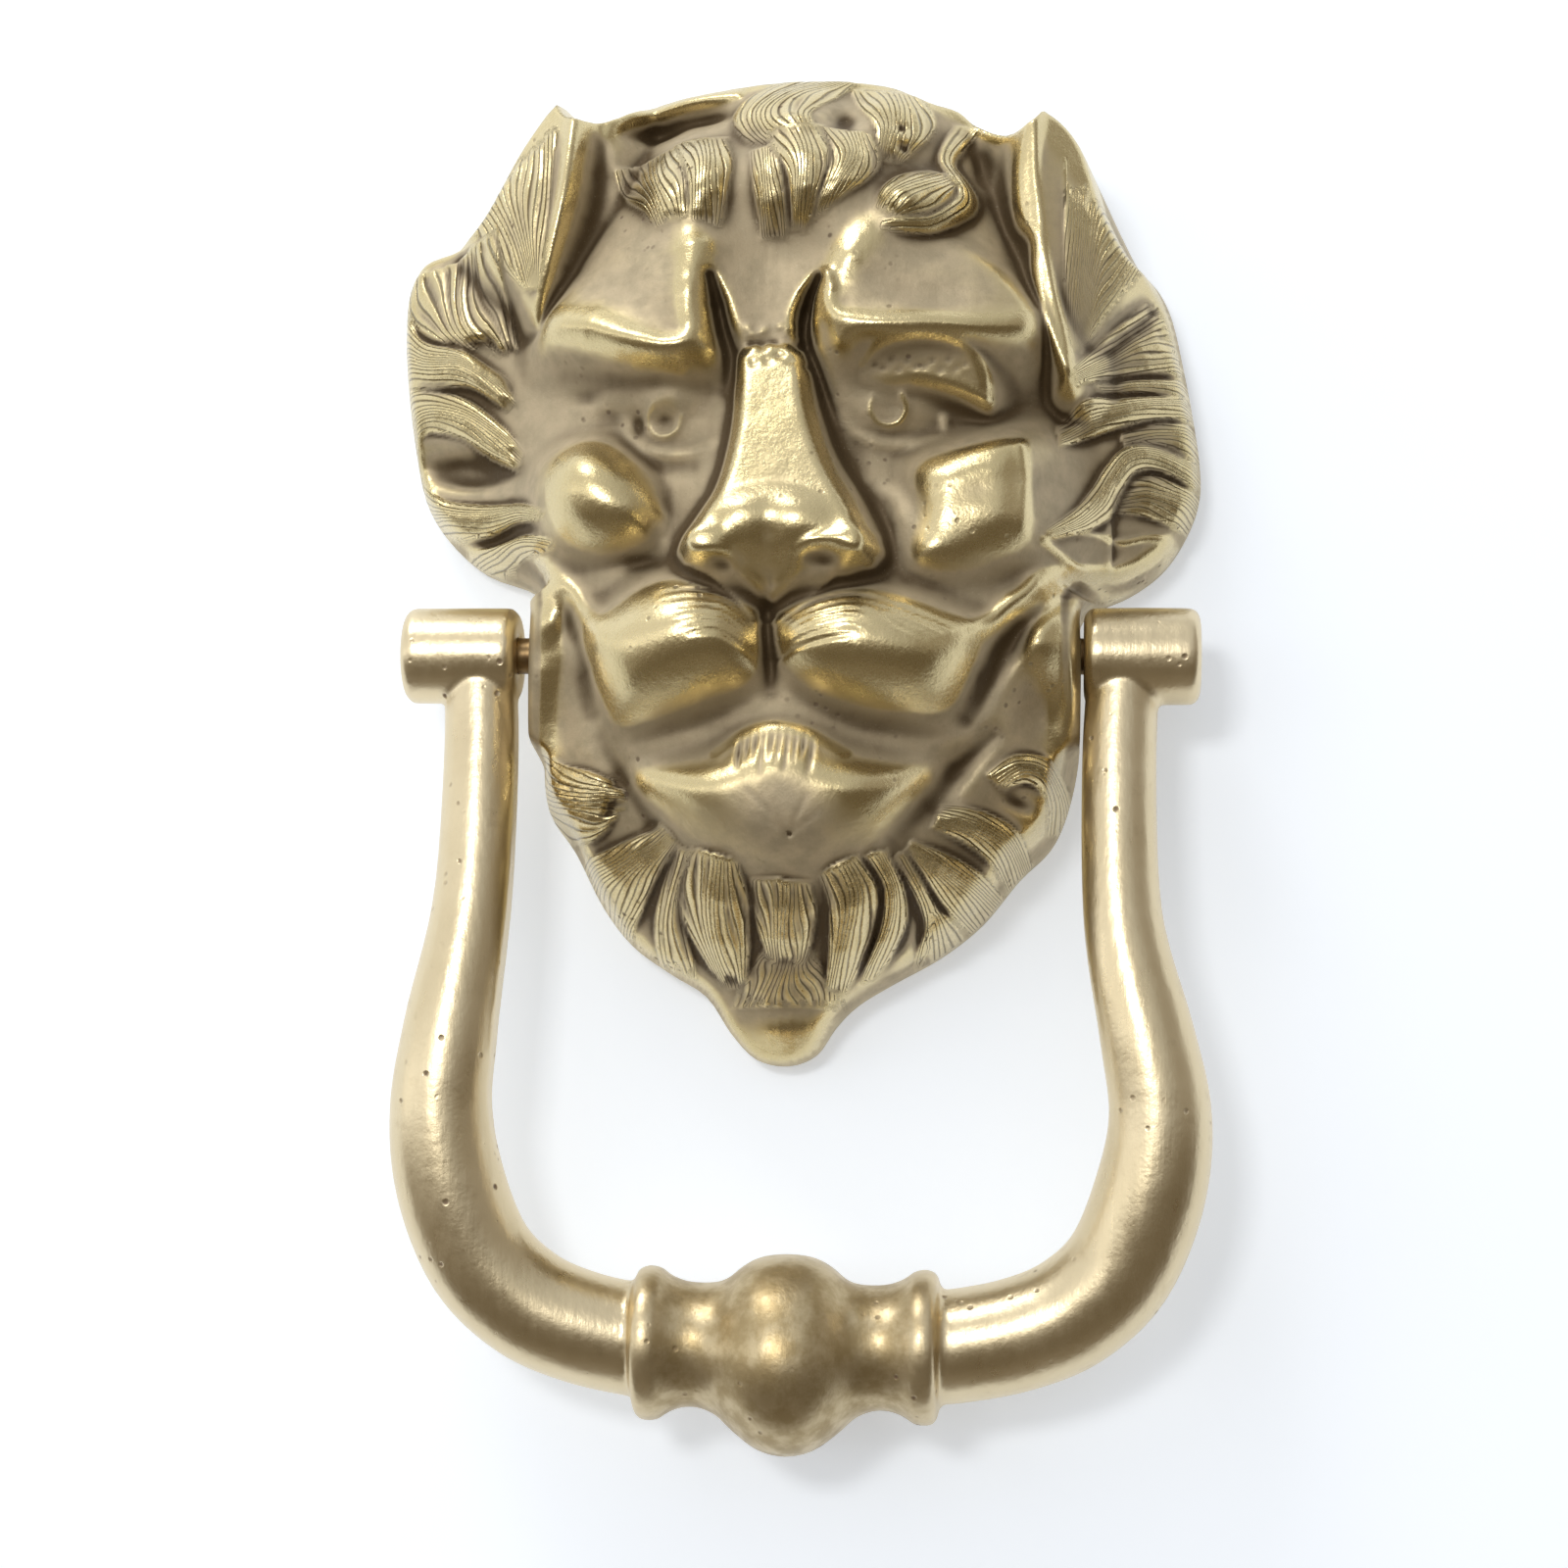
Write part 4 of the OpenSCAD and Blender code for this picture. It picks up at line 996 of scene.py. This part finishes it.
def swept(path, sides):
    """A bar along points (x, height, z, upper radius, lower radius, flatness on the loop's inside)."""
    path = np.asarray(path, float)
    centre = path[:, :3]
    t = np.gradient(centre, axis=0)
    t /= np.linalg.norm(t, axis=1)[:, None]
    inward = np.cross(t, np.tile([0.0, 1.0, 0.0], (len(t), 1)))
    inward /= np.linalg.norm(inward, axis=1)[:, None]
    doorward = np.cross(inward, t)
    a = 2 * np.pi * np.arange(sides) / sides
    up, low, flatness = (path[:, k, None] for k in (3, 4, 5))
    full = low + (up - low) * smooth((1 + np.cos(a)) / 2)
    ca, sa = np.cos(a)[None], np.sin(a)[None]
    r = np.where(ca > 0, np.minimum(full, flatness * full / np.maximum(ca, 1e-6)), full)
    spokes = ca[..., None] * inward[:, None] + sa[..., None] * doorward[:, None]
    rings = centre[:, None] + r[..., None] * spokes
    return rings.reshape(-1, 3), quad_rows(len(path), sides, False)


def bail_arm(side):
    path = []
    for dist, bow, z, radius, flat_side in spline(ARM, 6):
        lean = LOOP_LEAN * smooth((-60 - z) / 40) * smooth(abs(dist) / 30)
        x = side * dist + HANDLE_X + lean
        path.append((x, PIVOT_OUT + ARM_BOW * bow, z, radius, radius, flat_side))
    return swept(path[::-side], 48)


def bail_boss(side):
    half = BOSS_L / 2
    profile = [(-half, BORE_R), (-half, BOSS_R - 1.4), (-(half - 1.2), BOSS_R), (0, BOSS_R + 0.05),
               (half - 1.5, BOSS_R), (half - 0.4, BOSS_R - 0.8), (half, BOSS_R - 2.4), (half, BORE_R)]
    middle = (HANDLE_X + side * (LOOP_HALF + half), PIVOT_OUT, -PIVOT_DOWN)
    return turned([(side * along, radius) for along, radius in profile], middle, "x", 64)


def bail_handle():
    half_bar = spline(BALUSTER, 3)
    places = [(-s, up, low) for s, up, low in half_bar] + [(s, up, low) for s, up, low in half_bar[-2::-1]]
    bar = [(s + BALUSTER_X, PIVOT_OUT, BALL_AXIS_Z, up, low, 1.0) for s, up, low in places]
    foot = turned(STRIKING_FOOT, (BALUSTER_X, 0, BALL_AXIS_Z - 2), "y", 64)
    shapes = [bail_arm(-1), bail_arm(1), swept(bar, 72), bail_boss(-1), bail_boss(1), foot]
    rough = mesh_object("bail_rough", *joined(*shapes))
    # one skin over the joined forms, with the soft fillets of a casting
    remesh = rough.modifiers.new("skin", "REMESH")
    remesh.mode = "VOXEL"
    remesh.voxel_size = SKIN_CELL * MM
    soften = rough.modifiers.new("soften", "SMOOTH")
    soften.factor = 0.5
    soften.iterations = 5
    view_layer = bpy.context.evaluated_depsgraph_get()
    made = bpy.data.meshes.new_from_object(rough.evaluated_get(view_layer))
    bpy.data.objects.remove(rough)
    made.name = "bail_casting"
    take_over(placed("bail_casting", made), "bail", "handle", bail_finish())


# ---------------------------------------------------------------- materials
def add_node(tree, kind, settings, inputs, out=0):
    """One node: its settings first, then the values or links of its sockets."""
    node = tree.nodes.new(kind)
    for key, value in settings.items():
        setattr(node, key, value)
    for key, value in inputs.items():
        if isinstance(value, Wire):
            tree.links.new(value.socket, node.inputs[key])
        else:
            node.inputs[key].default_value = value
    return Wire(tree, node.outputs[out] if node.outputs else None)


class Wire:
    """A shader value; arithmetic on it adds Math nodes to its tree."""

    def __init__(self, tree, socket):
        self.tree, self.socket = tree, socket

    def math(self, kind, *others, clamp=False):
        sockets = dict(enumerate((self, *others)))
        return add_node(self.tree, "ShaderNodeMath", {"operation": kind, "use_clamp": clamp}, sockets)

    def __add__(self, other):
        return self.math("ADD", other)

    def __sub__(self, other):
        return self.math("SUBTRACT", other)

    def __rsub__(self, other):
        return (self * -1).math("ADD", other)

    def __mul__(self, other):
        return self.math("MULTIPLY", other)

    __radd__ = __add__
    __rmul__ = __mul__

    def clipped(self):
        return self.math("ADD", 0.0, clamp=True)

    def band(self, low, high):
        """0 at low, 1 at high, with soft ends."""
        return add_node(self.tree, "ShaderNodeMapRange", {"interpolation_type": "SMOOTHSTEP"},
                        {"Value": self, "From Min": low, "From Max": high}, "Result")


class Finish:
    """The nodes of one material, or of the room's light."""

    def __init__(self, owner):
        self.owner = owner
        owner.use_nodes = True
        self.tree = owner.node_tree
        self.tree.nodes.clear()

    def node(self, kind, settings, inputs, out=0):
        return add_node(self.tree, kind, settings, inputs, out)

    def place(self, coordinates="Object"):
        return self.node("ShaderNodeTexCoord", {}, {}, coordinates)

    def part(self, vector, axis):
        return self.node("ShaderNodeSeparateXYZ", {}, {0: vector}, axis)

    def attribute(self, name):
        return self.node("ShaderNodeAttribute", {"attribute_name": name}, {}, "Fac")

    def noise(self, scale, detail=3.0, rough=0.55, stretch=(1, 1, 1)):
        at = self.node("ShaderNodeVectorMath", {"operation": "MULTIPLY"}, {0: self.place(), 1: stretch})
        inputs = {"Vector": at, "Scale": scale, "Detail": detail, "Roughness": rough}
        return self.node("ShaderNodeTexNoise", {}, inputs)

    def pits(self, scale, low, high):
        """1 inside small round specks."""
        cell = self.node("ShaderNodeTexVoronoi", {}, {"Vector": self.place(), "Scale": scale}, "Distance")
        return 1 - cell.band(low, high)

    def mix(self, amount, a, b):
        return self.node("ShaderNodeMix", {"data_type": "RGBA"}, {0: amount, 6: a, 7: b}, 2)

    def bump(self, height, strength, distance, under=None):
        inputs = {"Height": height, "Strength": strength, "Distance": distance}
        if under is not None:
            inputs["Normal"] = under
        return self.node("ShaderNodeBump", {}, inputs)

    def metal(self, colour, rough, metallic, normal):
        sockets = {"Base Color": colour, "Roughness": rough, "Metallic": metallic, "Normal": normal}
        shader = self.node("ShaderNodeBsdfPrincipled", {}, sockets)
        self.node("ShaderNodeOutputMaterial", {}, {"Surface": shader})
        return self.owner


def rgb(red, green, blue):
    """A colour as it is seen, turned into linear light."""
    linear = [((c / 255 + 0.055) / 1.055)**2.4 if c > 10 else c / 255 / 12.92 for c in (red, green, blue)]
    return (*linear, 1.0)


def mask_finish():
    f = Finish(bpy.data.materials.new("rubbed_cast_brass"))
    rub, small, broad, edge, strand, hair = (
        f.attribute(name) for name in ("rub", "small", "broad", "band", "strand", "hair"))
    grain = f.noise(1300, 4, 0.6)
    cloud = f.noise(55, 4, 0.55)
    blotch = f.noise(230, 4, 0.6)
    fine = f.noise(2600, 2, 0.7)
    # fine cuts between the strands of the hair
    cut = ((strand * 1.6 + (blotch - 0.5) * 0.3) * 3.14159).math("SINE").math("ABSOLUTE").band(0.0, 0.6)
    comb = 1 - (1 - cut) * hair
    # hands and cloths reach the high places; the low places keep their brown skin. The band near the edge
    # is brightened as well: partly rubbed brass, partly painted reflection of the pale board
    reach = rub * 0.80 + small * 1.5 + broad * 0.20 + edge * 0.30 + hair * comb * 0.24
    shine = (reach + (cloud - 0.5) * 0.5 + (blotch - 0.5) * 0.45 - 0.02).band(0.0, 0.95)
    # deep: darker in small hollows and creases, partly dark patina, partly painted crease shade
    deep = (small * -1.4 - broad * 0.12 + (blotch - 0.5) * 0.5).band(0.05, 0.9)
    gold = f.mix(cloud.band(0.3, 0.7), rgb(212, 195, 148), rgb(222, 205, 160))
    skin = f.mix(blotch.band(0.3, 0.7), rgb(176, 162, 134), rgb(196, 180, 150))
    # the skin darkened where deep is high: dark patina together with painted crease shade
    skin = f.mix(deep, skin, rgb(92, 76, 52))
    colour = f.mix(shine, skin, gold)
    # the cuts between strands are darkened: partly patina in them, partly painted shade in the cuts
    colour = f.mix((1 - comb) * 0.65, colour, rgb(78, 62, 40))
    colour = f.mix(fine.band(0.62, 0.80) * 0.35 * (1 - shine * 0.6), colour, rgb(120, 104, 78))
    colour = f.mix(fine.band(0.38, 0.20) * 0.25, colour, rgb(226, 214, 186))
    specks = f.pits(420, 0.10, 0.25) * cloud.band(0.55, 0.66)
    colour = f.mix(specks * 0.7, colour, rgb(84, 64, 46))
    rough = 0.62 - 0.35 * shine + (grain - 0.5) * 0.10 + specks * 0.3
    metallic = 0.50 + 0.48 * shine - 0.5 * specks
    normal = f.bump(grain + fine * 0.6, 0.22, 0.0002)
    normal = f.bump(blotch, 0.14, 0.0005, normal)
    normal = f.bump(f.noise(150, 3, 0.5), 0.22, 0.0012, normal)
    normal = f.bump(comb, 0.75, 0.0004, normal)
    normal = f.bump(specks * -1, 0.4, 0.0003, normal)
    return f.metal(colour, rough.clipped(), metallic.clipped(), normal)


def bail_finish():
    f = Finish(bpy.data.materials.new("satin_handle_brass"))
    cloud = f.noise(60, 4, 0.55)
    blotch = f.noise(220, 4, 0.6)
    brushed = f.noise(700, 3, 0.6, stretch=(1, 1, 0.12))
    grain = f.noise(1400, 3, 0.6)
    specks = f.pits(300, 0.06, 0.2) * cloud.band(0.52, 0.62)
    across, up = (f.part(f.place(), k) for k in (0, 2))
    # the turned middle of the bar is handled least and has gone dull
    beside = (across - BALUSTER_X * MM).math("ABSOLUTE")
    dull = (1 - beside.band(0.018, 0.030)) * (1 - up.band(-0.122, -0.116))
    dull = dull * (0.45 + 0.55 * blotch.band(0.35, 0.65))
    colour = f.mix(cloud.band(0.25, 0.75), rgb(220, 203, 166), rgb(229, 213, 178))
    colour = f.mix(dull, colour, rgb(172, 152, 112))
    colour = f.mix(blotch.band(0.58, 0.75) * 0.25, colour, rgb(176, 156, 118))
    colour = f.mix(specks * 0.8, colour, rgb(96, 66, 46))
    rough = 0.31 + (cloud - 0.5) * 0.14 + (brushed - 0.5) * 0.14 + (grain - 0.5) * 0.08
    rough = rough + specks * 0.3 + dull * 0.08
    normal = f.bump(f.noise(120, 3, 0.5), 0.14, 0.0012)
    normal = f.bump(brushed, 0.18, 0.0003, normal)
    normal = f.bump(grain, 0.16, 0.0002, normal)
    normal = f.bump(specks * -1, 0.5, 0.0004, normal)
    return f.metal(colour, rough.clipped(), (0.97 - specks * 0.5 - dull * 0.15).clipped(), normal)


def dull_finish(name, light, dark, rough):
    f = Finish(bpy.data.materials.new(name))
    cloud = f.noise(300, 3, 0.6)
    colour = f.mix(cloud.band(0.3, 0.7), light, dark)
    return f.metal(colour, (cloud - 0.5) * 0.2 + rough, cloud * 0.1 + 0.85, f.bump(cloud, 0.2, 0.0002))


# ---------------------------------------------------------------- stage, light and camera
BOARD_HALF = 1.6
BOARD_Y = 0.0006


def door_board():
    mesh = bpy.data.meshes.new("door_board")
    corners = [(x * BOARD_HALF, BOARD_Y, z * BOARD_HALF) for x, z in ((-1, -1), (1, -1), (1, 1), (-1, 1))]
    mesh.from_pydata(corners, [], [(0, 1, 2, 3)])
    placed("door_board", mesh)
    f = Finish(bpy.data.materials.new("pale_board"))
    pale = f.mix(f.noise(3, 3, 0.5), rgb(232, 239, 249), rgb(239, 244, 251))
    sockets = {"Base Color": pale, "Roughness": 0.8, "Emission Color": pale, "Emission Strength": 0.42}
    paint = f.node("ShaderNodeBsdfPrincipled", {}, sockets)
    # the board can be seen through from behind
    clear = f.node("ShaderNodeBsdfTransparent", {}, {})
    back = f.node("ShaderNodeNewGeometry", {}, {}, "Backfacing")
    mixed = f.node("ShaderNodeMixShader", {}, {0: back, 1: paint, 2: clear})
    f.node("ShaderNodeOutputMaterial", {}, {"Surface": mixed})
    mesh.materials.append(f.owner)


def soft_light(name, place, width, height, power, colour=(1, 1, 1)):
    """A rectangular lamp that faces the knocker."""
    lamp = bpy.data.lights.new(name, "AREA")
    lamp.shape = "RECTANGLE"
    lamp.size = width
    lamp.size_y = height
    lamp.energy = power
    lamp.color = colour
    thing = placed(name, lamp)
    thing.location = place
    thing.rotation_euler = (-Vector(place)).to_track_quat("-Z", "Y").to_euler()


def room():
    """A pale room: bright above and to the left, dim to the right, and a warm dark below."""
    world = bpy.data.worlds.new("pale_room")
    bpy.context.scene.world = world
    f = Finish(world)
    right, ahead, up = (f.part(f.place("Generated"), k) for k in range(3))
    front = (ahead * -1).band(-0.3, 0.3)
    above = up.band(-0.12, 0.10)
    left = (right * -1).band(0.15, 0.8) * up.band(-0.75, 0.0)
    shade = 1 - right.band(0.30, 0.80) * 0.55
    strip = up.band(-0.07, 0.01) * (1 - up.band(0.05, 0.22)) * front * (1 - right.band(0.0, 0.4))
    table = (up * -1).band(0.70, 0.95)
    lit = (above * 0.50 + left * 0.30) * shade + strip * 0.95 + table * 0.08
    tint = f.mix((lit * 2.5).clipped(), (1.0, 0.80, 0.54, 1), (0.98, 0.99, 1.0, 1))
    glow = f.node("ShaderNodeBackground", {}, {"Color": tint, "Strength": lit + 0.15})
    f.node("ShaderNodeOutputWorld", {}, {"Surface": glow})


def viewing_camera():
    """A little below the knocker and to its right, turned slightly, 0.6 m away."""
    lens = bpy.data.cameras.new("camera")
    lens.sensor_width = 36
    lens.lens = 76.06
    camera = placed("camera", lens)
    bpy.context.scene.camera = camera
    turn, tilt, roll, away = np.radians(5.0), np.radians(-6.5), np.radians(0.8), 0.6
    back = Vector((np.sin(turn) * np.cos(tilt), -np.cos(turn) * np.cos(tilt), np.sin(tilt)))
    level = Vector((np.cos(turn), np.sin(turn), 0))
    upright = back.cross(level)
    right = level * np.cos(roll) + upright * np.sin(roll)
    up = upright * np.cos(roll) - level * np.sin(roll)
    stand = Matrix((right, up, back)).transposed().to_4x4()
    stand.translation = Vector((-0.0052, 0, -0.0355)) + back * away
    camera.matrix_world = stand


bpy.context.scene.view_settings.view_transform = "Standard"
room()
viewing_camera()
door_board()
soft_light("lamp_front", (-0.24, -1.15, 0.20), 0.22, 0.16, 3.2, (1, 0.99, 0.96))
soft_light("window_above", (-0.45, -0.5, 1.1), 0.6, 0.4, 5, (1, 1, 0.99))
soft_light("behind", (0.3, 0.9, 0.5), 0.8, 0.8, 8)
lion_mask()
bail_handle()
rod_brass = dull_finish("rod_brass", rgb(150, 126, 88), rgb(112, 90, 62), 0.4)
screw_steel = dull_finish("dark_screw_steel", rgb(92, 90, 88), rgb(66, 64, 62), 0.42)
for node, finish in (("pivot_rod", rod_brass), ("rod_locking_screws", screw_steel)):
    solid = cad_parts[node]
    solid.data.materials.clear()
    solid.data.materials.append(finish)
